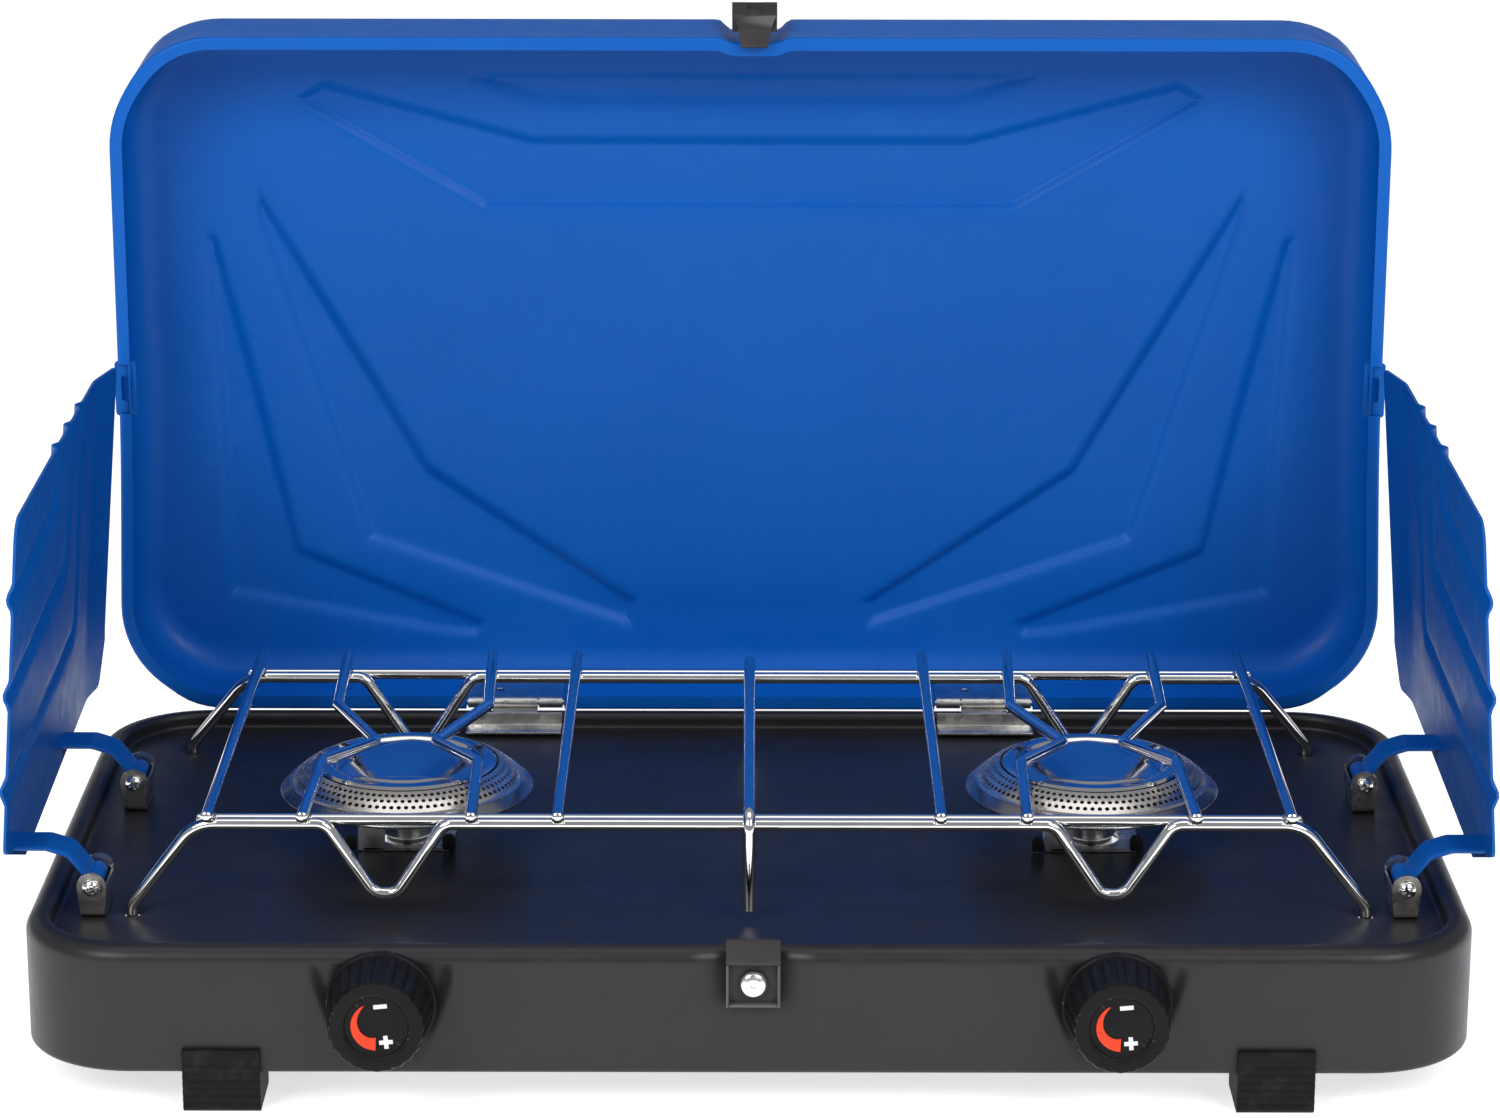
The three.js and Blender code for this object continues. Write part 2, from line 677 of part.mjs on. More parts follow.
const grate = new THREE.Group();
grate.add(piece("grate_front_wire", formedWire(rail.front, frontFootY), chromeWire));
grate.add(piece("grate_rear_wire", formedWire(rail.rear, rearFootY), chromeWire));
grate.add(piece("grate_front_bar", straightBar(), chromeWire, [0, rail.front + rail.spacing, rail.z]));
grate.add(piece("grate_rear_bar", straightBar(), chromeWire, [0, rail.rear + rail.spacing, rail.z]));
grate.add(piece("grate_wire_middle", middleCrossWire(), chromeWire));
for (const [side, sign] of sides) {
  grate.add(piece(`grate_wire_end_${side}`, straightCrossWire(sign * 191), chromeWire));
  grate.add(piece(`grate_wire_outer_${side}`, burnerCrossWire(sign, true), chromeWire));
  grate.add(piece(`grate_wire_inner_${side}`, burnerCrossWire(sign, false), chromeWire));
  grate.add(piece(`grate_wire_straight_${side}`, straightCrossWire(sign * 67.5), chromeWire));
}
stove.add(grate);

// The lid's pieces are drawn shut, then turned back about the hinge.
const lid = new THREE.Group();
const lidShut = new THREE.Group();
lid.position.set(0, hinge.y, hinge.z);
lid.rotation.x = -lidOpenAngle;
lidShut.position.set(0, -hinge.y, -hinge.z);
lidShut.add(piece("lid_shell", lidShell(), bluePaint));
for (const [side, sign] of sides) {
  lidShut.add(piece(`hinge_leaf_lid_${side}`, lidHingeLeaf(), zincSteel, [sign * hinge.x, 0, 0]));
  lidShut.add(piece(`windscreen_clip_${side}`, windscreenClip(sign), bluePaint));
}
lid.add(lidShut);
stove.add(lid);

const latch = new THREE.Group();
latch.position.set(latchX, latchPivot.y, latchPivot.z);
latch.add(piece("latch_bracket", latchBracket(), zincSteel));
latch.add(piece("latch_pin", latchPin(), zincSteel));
latch.add(piece("latch_lever", latchLever(), blackPlastic));
stove.add(latch);

export default stove;
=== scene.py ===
"""A two-burner camp stove standing open: the fine visual model around its CAD frame, and a plain studio.

Shapes are drawn in millimetres with x = 0 and y = 0 at the middle of the stove's case and z = 0 on the
ground, and make() turns them into metres in the frame's own coordinates.
"""

import json
import math

import bmesh
import bpy
import numpy as np
from mathutils import Matrix, Vector, noise
from mathutils.geometry import delaunay_2d_cdt


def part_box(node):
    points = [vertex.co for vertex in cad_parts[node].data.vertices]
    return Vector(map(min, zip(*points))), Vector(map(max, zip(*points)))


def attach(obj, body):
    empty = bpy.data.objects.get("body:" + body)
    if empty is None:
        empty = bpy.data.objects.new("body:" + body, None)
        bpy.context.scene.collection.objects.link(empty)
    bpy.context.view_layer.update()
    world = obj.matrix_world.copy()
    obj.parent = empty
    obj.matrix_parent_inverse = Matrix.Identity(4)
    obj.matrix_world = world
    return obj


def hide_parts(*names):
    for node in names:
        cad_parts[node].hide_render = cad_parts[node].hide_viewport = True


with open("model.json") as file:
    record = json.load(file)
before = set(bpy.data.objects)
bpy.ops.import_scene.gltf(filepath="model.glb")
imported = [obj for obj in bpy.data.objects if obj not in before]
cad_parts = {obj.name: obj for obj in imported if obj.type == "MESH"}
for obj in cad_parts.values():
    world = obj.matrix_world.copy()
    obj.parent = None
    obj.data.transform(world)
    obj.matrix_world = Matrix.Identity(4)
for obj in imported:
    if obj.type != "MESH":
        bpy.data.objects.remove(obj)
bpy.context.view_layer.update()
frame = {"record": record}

MM = 0.001
case_low, case_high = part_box("base_shell")
CASE_Y = (case_low.y + case_high.y) / 2
behaviour = frame["record"]["behaviour"]
body_of = {node: body for body, nodes in behaviour["bodies"].items() for node in nodes}
slot_of = {part["node"]: part["material_slot"] for part in frame["record"]["subparts"]}
SIDES = (("left", -1), ("right", 1))


def node_box(node):
    """A CAD node's lowest and highest corner, in millimetres from the middle of the case."""
    return [Vector((c.x, c.y - CASE_Y, c.z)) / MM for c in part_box(node)]


def node_middle(node):
    low, high = node_box(node)
    return (low + high) / 2


# ---------------------------------------------------------------- sizes

SHEET = 1.0
case_min, case_max = node_box("base_shell")
HALF_W = case_max.x
HALF_D = case_max.y
CASE_CORNER = 40
CASE_BOTTOM = case_min.z
SHOULDER_TOP = case_max.z
DECK = SHOULDER_TOP - 6
SHOULDER = 9

lid_min, lid_max = node_box("lid_shell")
LID_HALF_W = lid_max.x
LID_HALF_D = (lid_max.z - lid_min.z) / 2
LID_MIDDLE_Z = (lid_max.z + lid_min.z) / 2
LID_RIM_Y = lid_min.y
LID_BACK_Y = lid_max.y
LID_CORNER = 42
LID_EDGE = 13
HEM = 5

HINGE = node_middle("hinge_pin_right")
KNUCKLE = 2.3
BURNER = node_middle("burner_cap_right")
KNOB = node_middle("knob_right")
KNOB_FRONT = node_box("knob_right")[0].y
KNOB_BACK = node_box("knob_right")[1].y
PIVOT = node_middle("windscreen_bracket_front_right")
ARM_YS = [node_middle(f"windscreen_bracket_{end}_right").y for end in ("front", "rear")]
PIVOT_Z = 65
LATCH = node_middle("latch_pin")
CATCH_X = node_middle("latch_catch").x
RIVET = node_middle("catch_rivet")
WIRE = 2.2
RAIL_Z = 87.6
CROSS_Z = 92.4


# ---------------------------------------------------------------- shape helpers
# A shape is a list of points and a list of faces that index them.

def joined(*shapes):
    points, faces = [], []
    for more_points, more_faces in shapes:
        start = len(points)
        points.extend(more_points)
        faces.extend([tuple(start + k for k in face) for face in more_faces])
    return points, faces


def mapped(shape, change):
    points, faces = shape
    return [Vector(change(*p)) for p in points], faces


def moved(shape, x=0, y=0, z=0):
    return mapped(shape, lambda a, b, c: (a + x, b + y, c + z))


def mirrored(shape):
    points, faces = mapped(shape, lambda a, b, c: (-a, b, c))
    return points, [tuple(reversed(face)) for face in faces]


def to_side(shape, sign):
    return shape if sign > 0 else mirrored(shape)


def placed(axis, a, b, along):
    """A point from its two coordinates across an axis and one along it."""
    return Vector({"x": (along, a, b), "y": (a, along, b), "z": (a, b, along)}[axis])


def rounded(corners, dims=2, closed=False, turn=12):
    """A path through corners, each an arc where its last number, after dims coordinates, is a radius."""
    spots = [Vector((*corner[:dims], 0)[:3]) for corner in corners]
    path = []
    for k, corner in enumerate(corners):
        here = spots[k]
        if len(corner) == dims or (not closed and k in (0, len(corners) - 1)):
            path.append(here)
            continue
        radius = corner[dims]
        back = (spots[k - 1] - here).normalized()
        ahead = (spots[(k + 1) % len(spots)] - here).normalized()
        half = back.angle(ahead) / 2
        centre = here + (back + ahead).normalized() * radius / math.sin(half)
        start = here + back * radius / math.tan(half) - centre
        end = here + ahead * radius / math.tan(half) - centre
        sweep = start.angle(end)
        steps = max(2, math.ceil(math.degrees(sweep) / turn))
        for step in range(steps + 1):
            t = step / steps
            blend = start * math.sin((1 - t) * sweep) + end * math.sin(t * sweep)
            path.append(centre + blend / math.sin(sweep))
    return path


def flat_points(points):
    """The first two coordinates of each point."""
    return [tuple(p)[:2] for p in points]


def ring_of(radius, count, turn=0.0):
    angles = [turn + 2 * math.pi * k / count for k in range(count)]
    return [(radius * math.cos(a), radius * math.sin(a)) for a in angles]


def rectangle(low, high):
    """The four corners of a rectangle, from its low corner to its high one."""
    (a, b), (c, d) = low, high
    return [(a, b), (c, b), (c, d), (a, d)]


def plate_outline(low, high, radius):
    """A rectangle with rounded corners."""
    return rounded([(*corner, radius) for corner in rectangle(low, high)], closed=True)


def grid(rows, closed=False):
    """Four-sided faces between rows of points; closed joins the end of each row to its start."""
    width = len(rows[0])
    faces = []
    for r in range(len(rows) - 1):
        for k in range(width if closed else width - 1):
            n = (k + 1) % width
            faces.append((r * width + k, r * width + n, (r + 1) * width + n, (r + 1) * width + k))
    return [point for row in rows for point in row], faces


def turned(outline, axis="z", sides=64, wave=None):
    """A turned shape from its (radius, distance along the axis) outline."""
    rows = []
    for radius, along in flat_points(outline):
        row = []
        for k in range(sides):
            angle = 2 * math.pi * k / sides
            r = radius + (wave(angle, radius, along) if wave else 0)
            row.append(placed(axis, r * math.cos(angle), r * math.sin(angle), along))
        rows.append(row)
    return grid(rows, closed=True)


def rod(radius, low, high, axis, sides=24):
    return turned([(0, low), (radius, low), (radius, high), (0, high)], axis, sides)


def pin(radius, half):
    """A rod across the stove, its two ends slightly rounded."""
    outline = rounded([(0, -half), (radius, -half, 0.3), (radius, half, 0.3), (0, half)])
    return turned(outline, "x", 24)


def prism(outline, low, high, axis="z"):
    """An outline pushed along an axis, with flat ends."""
    outline = flat_points(outline)
    points, faces = grid([[placed(axis, a, b, along) for a, b in outline] for along in (low, high)], True)
    count = len(outline)
    return points, faces + [tuple(range(count)), tuple(range(2 * count - 1, count - 1, -1))]


def tube(path, radius, sides=20, dome=0.5):
    """A round rod along a path, its two ends slightly domed."""
    path = [Vector(p) for p in path]
    legs = [(b - a).normalized() for a, b in zip(path, path[1:])]
    across = legs[0].orthogonal().normalized()
    stations = []
    for k, here in enumerate(path):
        before, after = legs[max(k - 1, 0)], legs[min(k, len(legs) - 1)]
        along = (before + after).normalized()
        across = (across - along * across.dot(along)).normalized()
        stations.append((here, along, across, along.cross(across), 1 / max(along.dot(after), 0.5)))
    rows = []
    steps = [math.radians(a) for a in (90, 65, 40, 18)]

    def ring(station, size, shift):
        here, along, u, v, _ = station
        middle = here + along * shift
        return [middle + (u * a + v * b) * size for a, b in ring_of(radius, sides)]

    for angle in steps:
        rows.append(ring(stations[0], math.cos(angle), -dome * radius * (math.sin(angle) - 1)))
    for station in stations[1:-1]:
        rows.append(ring(station, 1, 0))
    for angle in reversed(steps):
        rows.append(ring(stations[-1], math.cos(angle), dome * radius * (math.sin(angle) - 1)))
    return grid(rows, closed=True)


def inside(points, outline):
    """Which points lie inside a closed outline, as a numpy mask."""
    x, y = points[:, 0], points[:, 1]
    mask = np.zeros(len(points), bool)
    for (x0, y0), (x1, y1) in zip(outline, outline[1:] + outline[:1]):
        crosses = (y0 > y) != (y1 > y)
        rise = (y1 - y0) if y1 != y0 else 1e-9
        mask ^= crosses & (x < (x1 - x0) * (y - y0) / rise + x0)
    return mask


def distance_to(points, line, closed=False):
    """The distance of each point from a line of segments."""
    ends = line[1:] + line[:1] if closed else line[1:]
    best = np.full(len(points), 1e9)
    for a, b in zip(line, ends):
        a, b = np.array(a, float), np.array(b, float)
        leg = b - a
        t = np.clip(((points - a) @ leg) / max(leg @ leg, 1e-9), 0, 1)
        best = np.minimum(best, np.linalg.norm(points - a - t[:, None] * leg, axis=1))
    return best


def filled(outline, holes=(), spacing=6.0, extra=None):
    """Flat triangles that fill an outline apart from its holes, as (points, faces) in two dimensions.
    extra(points) says how finely the surface needs points there, on a finer grid."""
    outline = flat_points(outline)
    holes = [flat_points(hole) for hole in holes]
    low, high = np.min(outline, axis=0), np.max(outline, axis=0)

    def lattice(step):
        xs = np.arange(low[0] + step / 2, high[0], step)
        ys = np.arange(low[1] + step / 2, high[1], step)
        return np.array([(x, y) for x in xs for y in ys]).reshape(-1, 2)

    seeds = lattice(spacing)
    if extra:
        fine_step, wanted = extra
        seeds = seeds[~wanted(seeds)]
        fine = lattice(fine_step)
        seeds = np.vstack([seeds, fine[wanted(fine)]])
    gap = 0.6 * (extra[0] if extra else spacing)
    seeds = seeds[inside(seeds, outline) & (distance_to(seeds, outline, True) > gap)]
    for hole in holes:
        seeds = seeds[~inside(seeds, hole) & (distance_to(seeds, hole, True) > min(gap, 0.8))]
    points, edges = [], []
    for loop in [outline, *holes]:
        start = len(points)
        points.extend(loop)
        edges.extend((start + k, start + (k + 1) % len(loop)) for k in range(len(loop)))
    points.extend(map(tuple, seeds))
    found = delaunay_2d_cdt([Vector(p) for p in points], edges, [], 0, 1e-6, False)
    flat = np.array([(p.x, p.y) for p in found[0]])
    triangles = np.array(found[2])
    middles = flat[triangles].mean(axis=1)
    keep = inside(middles, outline)
    for hole in holes:
        keep &= ~inside(middles, hole)
    return [tuple(p) for p in flat], [tuple(t) for t in triangles[keep]]


def rounded_rectangle(half_x, half_y, radius, breaks_x, breaks_y, steps=14):
    """Points round a rectangle with arcs for corners, anticlockwise, with the given points on its sides."""
    path = []
    corners = ((1, 1), (-1, 1), (-1, -1), (1, -1))
    for quarter, (sign_x, sign_y) in enumerate(corners):
        for step in range(steps + 1):
            angle = (quarter + step / steps) * math.pi / 2
            x = sign_x * (half_x - radius) + radius * math.cos(angle)
            y = sign_y * (half_y - radius) + radius * math.sin(angle)
            path.append((x, y))
        if quarter in (0, 2):
            path.extend((sign_y * -b if quarter == 0 else b, sign_y * half_y) for b in breaks_x)
        else:
            path.extend((sign_x * half_x, b if quarter == 3 else -b) for b in breaks_y)
    return path


def even_breaks(half, step, fine=None):
    """Places along a straight side, from -half to +half, closer together within the fine range."""
    count = max(2, round(2 * half / step))
    places = {round(-half + 2 * half * k / count, 3) for k in range(1, count)}
    if fine:
        reach, fine_step = fine
        last = round(reach / fine_step)
        places = {p for p in places if abs(p) > reach + step / 2}
        places |= {round(k * fine_step, 3) for k in range(-last, last + 1)}
    return sorted(places)


def ramp(value, low, high):
    """0 below low, 1 above high, and a smooth climb between; works on arrays."""
    t = np.clip((value - low) / (high - low), 0, 1)
    return t * t * (3 - 2 * t)


# ---------------------------------------------------------------- from shapes to pieces

def bake(piece):
    """Applies the piece's modifiers."""
    graph = bpy.context.evaluated_depsgraph_get()
    mesh = bpy.data.meshes.new_from_object(piece.evaluated_get(graph))
    piece.modifiers.clear()
    piece.data = mesh


def object_from(name, shape, outward_from=None):
    """A mesh object in metres from a shape in millimetres. Faces turn away from outward_from, or out."""
    points, faces = shape
    mesh = bpy.data.meshes.new(name)
    mesh.from_pydata([(x * MM, y * MM + CASE_Y, z * MM) for x, y, z in points], [], faces)
    work = bmesh.new()
    work.from_mesh(mesh)
    bmesh.ops.remove_doubles(work, verts=work.verts, dist=1e-6)
    bmesh.ops.dissolve_degenerate(work, edges=work.edges, dist=1e-7)
    bmesh.ops.recalc_face_normals(work, faces=work.faces)
    if outward_from is not None:
        middle = Vector(outward_from) * MM + Vector((0, CASE_Y, 0))
        if sum((f.calc_center_median() - middle).dot(f.normal) * f.calc_area() for f in work.faces) < 0:
            bmesh.ops.reverse_faces(work, faces=work.faces)
    work.to_mesh(mesh)
    work.free()
    piece = bpy.data.objects.new(name, mesh)
    bpy.context.scene.collection.objects.link(piece)
    return piece


def cut(piece, shapes):
    """Takes solid shapes away from a piece."""
    for shape in shapes:
        tool = object_from("cutter", shape)
        modifier = piece.modifiers.new("cut", "BOOLEAN")
        modifier.operation = "DIFFERENCE"
        modifier.solver = "EXACT"
        modifier.object = tool
        bake(piece)
        mesh = tool.data
        bpy.data.objects.remove(tool)
        bpy.data.meshes.remove(mesh)


def add(name, shape, material, body, slot, thick=0, outward_from=None, bevel=0, cuts=(), sharp=35,
        even=True):
    """One finished piece riding on a body. thick gives a skin its sheet's thickness, bevel rounds edges."""
    piece = object_from(name, shape, outward_from)
    if thick:
        modifier = piece.modifiers.new("sheet", "SOLIDIFY")
        modifier.thickness = thick * MM
        modifier.offset = -1
        modifier.use_even_offset = even
        bake(piece)
    cut(piece, cuts)
    if bevel:
        modifier = piece.modifiers.new("edges", "BEVEL")
        modifier.width = bevel * MM
        modifier.segments = 3
        modifier.limit_method = "ANGLE"
        modifier.angle_limit = math.radians(28)
        modifier.harden_normals = False
        bake(piece)
    piece.data.shade_smooth()
    piece.data.set_sharp_from_angle(angle=math.radians(sharp))
    piece.data.materials.clear()
    piece.data.materials.append(material)
    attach(piece, body)
    return piece


def make(node, shape, material, **options):
    """The fine piece that stands for one CAD node."""
    piece = add(node + "_fine", shape, material, body_of[node], slot_of[node], **options)
    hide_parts(node)
    return piece


# ---------------------------------------------------------------- materials

class Shader:
    """A Principled material with a few nodes round it. Texture space is the object's own, in metres."""

    def __init__(self, name, color, roughness, metallic=0.0, **sockets):
        self.material = bpy.data.materials.new(name)
        self.material.use_nodes = True
        self.nodes = self.material.node_tree.nodes
        self.links = self.material.node_tree.links
        self.surface = self.nodes["Principled BSDF"]
        self.surface.inputs["Base Color"].default_value = (*color, 1)
        self.surface.inputs["Roughness"].default_value = roughness
        self.surface.inputs["Metallic"].default_value = metallic
        for socket, value in sockets.items():
            self.surface.inputs[socket.replace("_", " ")].default_value = value
        self.place = self.nodes.new("ShaderNodeTexCoord").outputs["Object"]
        self.height = None

    def link(self, output, socket):
        self.links.new(output, socket)
        return output

    def stretched(self, scale):
        node = self.nodes.new("ShaderNodeMapping")
        node.inputs["Scale"].default_value = scale
        self.link(self.place, node.inputs["Vector"])
        return node.outputs["Vector"]

    def noise(self, size, detail=3.0, rough=0.5, stretch=None):
        """Noise with features about size millimetres across."""
        node = self.nodes.new("ShaderNodeTexNoise")
        node.inputs["Scale"].default_value = 1 / (size * MM)
        node.inputs["Detail"].default_value = detail
        node.inputs["Roughness"].default_value = rough
        self.link(self.stretched(stretch) if stretch else self.place, node.inputs["Vector"])
        return node.outputs["Fac"]

    def cells(self, size):
        """A random colour for each crystal, about size millimetres across."""
        node = self.nodes.new("ShaderNodeTexVoronoi")
        node.inputs["Scale"].default_value = 1 / (size * MM)
        self.link(self.place, node.inputs["Vector"])
        return node.outputs["Color"]

    def spread(self, value, low, high, to_low=0.0, to_high=1.0):
        node = self.nodes.new("ShaderNodeMapRange")
        for socket, number in zip(("From Min", "From Max", "To Min", "To Max"), (low, high, to_low, to_high)):
            node.inputs[socket].default_value = number
        self.link(value, node.inputs["Value"])
        return node.outputs["Result"]

    def mixed(self, factor, first, second):
        """A colour between two, each a plain colour or another node's output."""
        node = self.nodes.new("ShaderNodeMix")
        node.data_type = "RGBA"
        self.link(factor, node.inputs["Factor"])
        for socket, value in ((node.inputs[6], first), (node.inputs[7], second)):
            if isinstance(value, tuple):
                socket.default_value = (*value, 1)
            else:
                self.link(value, socket)
        return node.outputs[2]

    def color(self, output):
        self.link(output, self.surface.inputs["Base Color"])

    def roughness(self, output):
        self.link(output, self.surface.inputs["Roughness"])

    def patchy(self, value, first, second, low=0.3, high=0.7):
        """Colours the surface from first, where value is low, to second, where it is high."""
        self.color(self.mixed(self.spread(value, low, high), first, second))

    def uneven(self, value, smooth, rough, high=0.7):
        """Makes the surface smooth where value is low and rough where it is high."""
        self.roughness(self.spread(value, 0.3, high, smooth, rough))

    def bump(self, value, depth):
        """Adds height to the surface, depth in millimetres for a change from 0 to 1."""
        node = self.nodes.new("ShaderNodeBump")
        node.inputs["Strength"].default_value = 1
        node.inputs["Distance"].default_value = depth * MM
        self.link(value, node.inputs["Height"])
        if self.height:
            self.link(self.height, node.inputs["Normal"])
        self.height = self.link(node.outputs["Normal"], self.surface.inputs["Normal"])

    def edges(self, low, high):
        """1 on sharp outer edges, fading to 0 on flat ground."""
        return self.spread(self.nodes.new("ShaderNodeNewGeometry").outputs["Pointiness"], low, high)


def shaded(color, factor):
    return tuple(c * factor for c in color)


def powder_coat(name, color, deep, grain=0.75, depth=0.05, roughness=0.36):
    """Baked powder paint: a fine orange-peel skin with small changes of shade."""
    paint = Shader(name, color, roughness, IOR=1.5, Specular_IOR_Level=0.15)
    patches = paint.spread(paint.noise(60, 2), 0.35, 0.65)
    speckle = paint.spread(paint.noise(0.5, 2), 0.3, 0.7)
    paint.color(paint.mixed(speckle, paint.mixed(patches, color, deep), color))
    paint.uneven(paint.noise(9, 4), roughness - 0.04, roughness + 0.06)
    paint.bump(paint.noise(grain * 3.5, 1), depth * 1.2)
    paint.bump(paint.noise(grain, 2.5, 0.6), depth)
    return paint.material


def satin_enamel(name, tone, dusty):
    """Dark satin paint, with faint handling marks."""
    paint = Shader(name, tone, 0.34, IOR=1.52, Specular_IOR_Level=0.32)
    speckle = paint.spread(paint.noise(0.6, 2), 0.35, 0.75)
    patches = paint.spread(paint.noise(45, 4, 0.6), 0.35, 0.7)
    paint.color(paint.mixed(patches, paint.mixed(speckle, tone, dusty), tone))
    paint.uneven(paint.noise(16, 5, 0.65), 0.3, 0.42)
    paint.bump(paint.noise(1.0, 2.5, 0.6), 0.035)
    paint.bump(paint.noise(4.5, 2), 0.03)
    return paint.material


def chrome():
    """Bright plated wire: nearly a mirror, with the faint drawing marks of the wire below."""
    plate = Shader("bright_chrome", (0.83, 0.82, 0.81), 0.06, 1.0)
    plate.uneven(plate.noise(5, 4), 0.03, 0.1, high=0.75)
    plate.patchy(plate.noise(14, 3), (0.86, 0.855, 0.84), (0.76, 0.75, 0.74))
    plate.bump(plate.noise(2.6, 2), 0.02)
    return plate.material


def polished_steel(name="polished_steel", color=(0.74, 0.74, 0.75), roughness=0.08):
    """Pressed stainless sheet, polished but for fine rubbing lines."""
    steel = Shader(name, color, roughness, 1.0)
    fine = steel.noise(0.9, 3, stretch=(1, 9, 1))
    steel.uneven(fine, roughness * 0.7, roughness * 1.7)
    steel.patchy(steel.noise(20, 3), color, shaded(color, 0.88))
    steel.bump(steel.noise(7, 2), 0.03)
    return steel.material


def ring_steel():
    """The burner ring's satin steel, slightly straw-coloured from heat."""
    steel = Shader("satin_ring_steel", (0.72, 0.68, 0.62), 0.26, 1.0)
    steel.patchy(steel.noise(16, 3), (0.74, 0.7, 0.64), (0.62, 0.58, 0.56), low=0.35)
    steel.uneven(steel.noise(1.4, 3, stretch=(1, 1, 6)), 0.2, 0.34)
    steel.bump(steel.noise(0.8, 2), 0.012)
    return steel.material


def zinc(name="zinc_plate", color=(0.62, 0.61, 0.58), roughness=0.3):
    """Zinc-plated sheet: faint crystal patches and rubbing marks."""
    plate = Shader(name, color, roughness, 1.0)
    plate.patchy(plate.noise(5, 4, 0.65), color, shaded(color, 0.72), low=0.35)
    plate.roughness(plate.spread(plate.cells(2.4), 0, 1, roughness - 0.07, roughness + 0.12))
    plate.bump(plate.noise(1.6, 3), 0.02)
    return plate.material


def machined_brass():
    brass = Shader("machined_brass", (0.72, 0.54, 0.24), 0.28, 1.0)
    rings = brass.noise(0.5, 3, stretch=(1, 8, 1))
    brass.uneven(rings, 0.2, 0.38)
    brass.patchy(brass.noise(7, 4), (0.74, 0.56, 0.26), (0.5, 0.36, 0.17), low=0.4)
    brass.bump(rings, 0.01)
    return brass.material


def bright_aluminium():
    metal = Shader("bright_aluminium", (0.86, 0.86, 0.87), 0.2, 1.0)
    metal.uneven(metal.noise(1.2, 3), 0.12, 0.3)
    metal.bump(metal.noise(1.5, 2), 0.03)
    return metal.material


def moulded_plastic(name, color, shine=0.38, grain=0.4, depth=0.02):
    """Black moulded plastic with a fine spark-eroded skin and paler edges, painted partly as wear and partly
    as a highlight along them.
    """
    plastic = Shader(name, color, shine, IOR=1.48, Specular_IOR_Level=0.13)
    # paler colour on sharp edges: part wear, part a painted highlight along rims and flutes
    worn_and_highlit_edge = tuple(c * 2.1 + 0.04 for c in color)
    edge = plastic.edges(0.53, 0.62)
    patches = plastic.spread(plastic.noise(11, 3), 0.35, 0.7)
    base = plastic.mixed(patches, color, shaded(color, 1.35))
    plastic.color(plastic.mixed(edge, base, worn_and_highlit_edge))
    plastic.uneven(plastic.noise(2.4, 3), shine - 0.06, shine + 0.1)
    plastic.bump(plastic.noise(grain, 2), depth)
    return plastic.material


def rubber():
    tone = (0.008, 0.0075, 0.008)
    soft = Shader("black_foot_rubber", tone, 0.62, IOR=1.45, Specular_IOR_Level=0.15)
    soft.patchy(soft.noise(6, 5, 0.65), tone, (0.024, 0.023, 0.0225), 0.5, 0.8)
    soft.uneven(soft.noise(1.5, 3), 0.54, 0.74)
    soft.bump(soft.noise(0.8, 2), 0.03)
    return soft.material


def dial_ink(name, color):
    """Printed paint on the knob's face, slightly uneven."""
    ink = Shader(name, color, 0.42, IOR=1.45, Specular_IOR_Level=0.3)
    ink.patchy(ink.noise(1.2, 3), color, shaded(color, 0.8), high=0.75)
    ink.uneven(ink.noise(0.7, 3), 0.35, 0.5)
    ink.bump(ink.noise(0.4, 2), 0.015)
    return ink.material


BLUE = powder_coat("blue_powder_coat", (0.002, 0.105, 0.46), (0.0015, 0.094, 0.43))
# the lid's blue paint made darker: painted shade for the sideways-facing windscreens and their clips; its
# finer grain and rougher finish are its own
SHADED_SCREEN_BLUE = powder_coat("blue_screen_coat_painted_shade", (0.002, 0.092, 0.39), (0.0015, 0.083, 0.36), 0.6, 0.018, 0.4)
CHARCOAL = satin_enamel("charcoal_enamel", (0.0155, 0.015, 0.0165), (0.021, 0.0205, 0.0225))
CHROME = chrome()
POLISHED = polished_steel()
PAN = polished_steel("burner_pan_steel", (0.36, 0.36, 0.37), 0.2)
# near-black satin: soot on the bracket clips, and painted shade on the dark cone behind the flame holes
SOOT_AND_SHADE = satin_enamel("burner_soot_and_shade", (0.006, 0.006, 0.006), (0.012, 0.011, 0.01))
RING = ring_steel()
ZINC = zinc()
GALVANISED = zinc("galvanised_bracket", (0.5, 0.475, 0.44), 0.3)
BRIGHT_ZINC = zinc("bright_hinge_zinc", (0.7, 0.7, 0.69), 0.17)
CAST = zinc("cast_neck_zinc", (0.66, 0.66, 0.66), 0.36)
BRASS = machined_brass()
ALUMINIUM = bright_aluminium()
PLASTIC = moulded_plastic("black_knob_plastic", (0.0065, 0.006, 0.0065))
LATCH_PLASTIC = moulded_plastic("black_latch_plastic", (0.034, 0.031, 0.031), 0.46, 0.5, 0.03)
RUBBER = rubber()
RED = dial_ink("red_dial_ink", (0.85, 0.055, 0.014))
WHITE = dial_ink("white_dial_ink", (0.85, 0.85, 0.84))


# ---------------------------------------------------------------- base case

LEG_X = 219.5
LEG_YS = {"front": -83.5, "rear": 98}
LEG_HOLES = [(sign * LEG_X, y) for sign in (-1, 1) for y in LEG_YS.values()]
NECK = 10
CATCH_DENT = (16, 3.2)  # half-width and depth of the press mark round the catch


def deck_height(x, y):
    """The deck is flat but for a small dimple at each leg hole."""
    height = DECK
    for hole_x, hole_y in LEG_HOLES:
        away = math.hypot(x - hole_x, y - hole_y)
        height -= 1.3 * math.exp(-((away / 5.5) ** 2))
    return height


POCKET = (24, 0.3, 1.6)  # half-width at the top, its narrowing per millimetre down, and depth


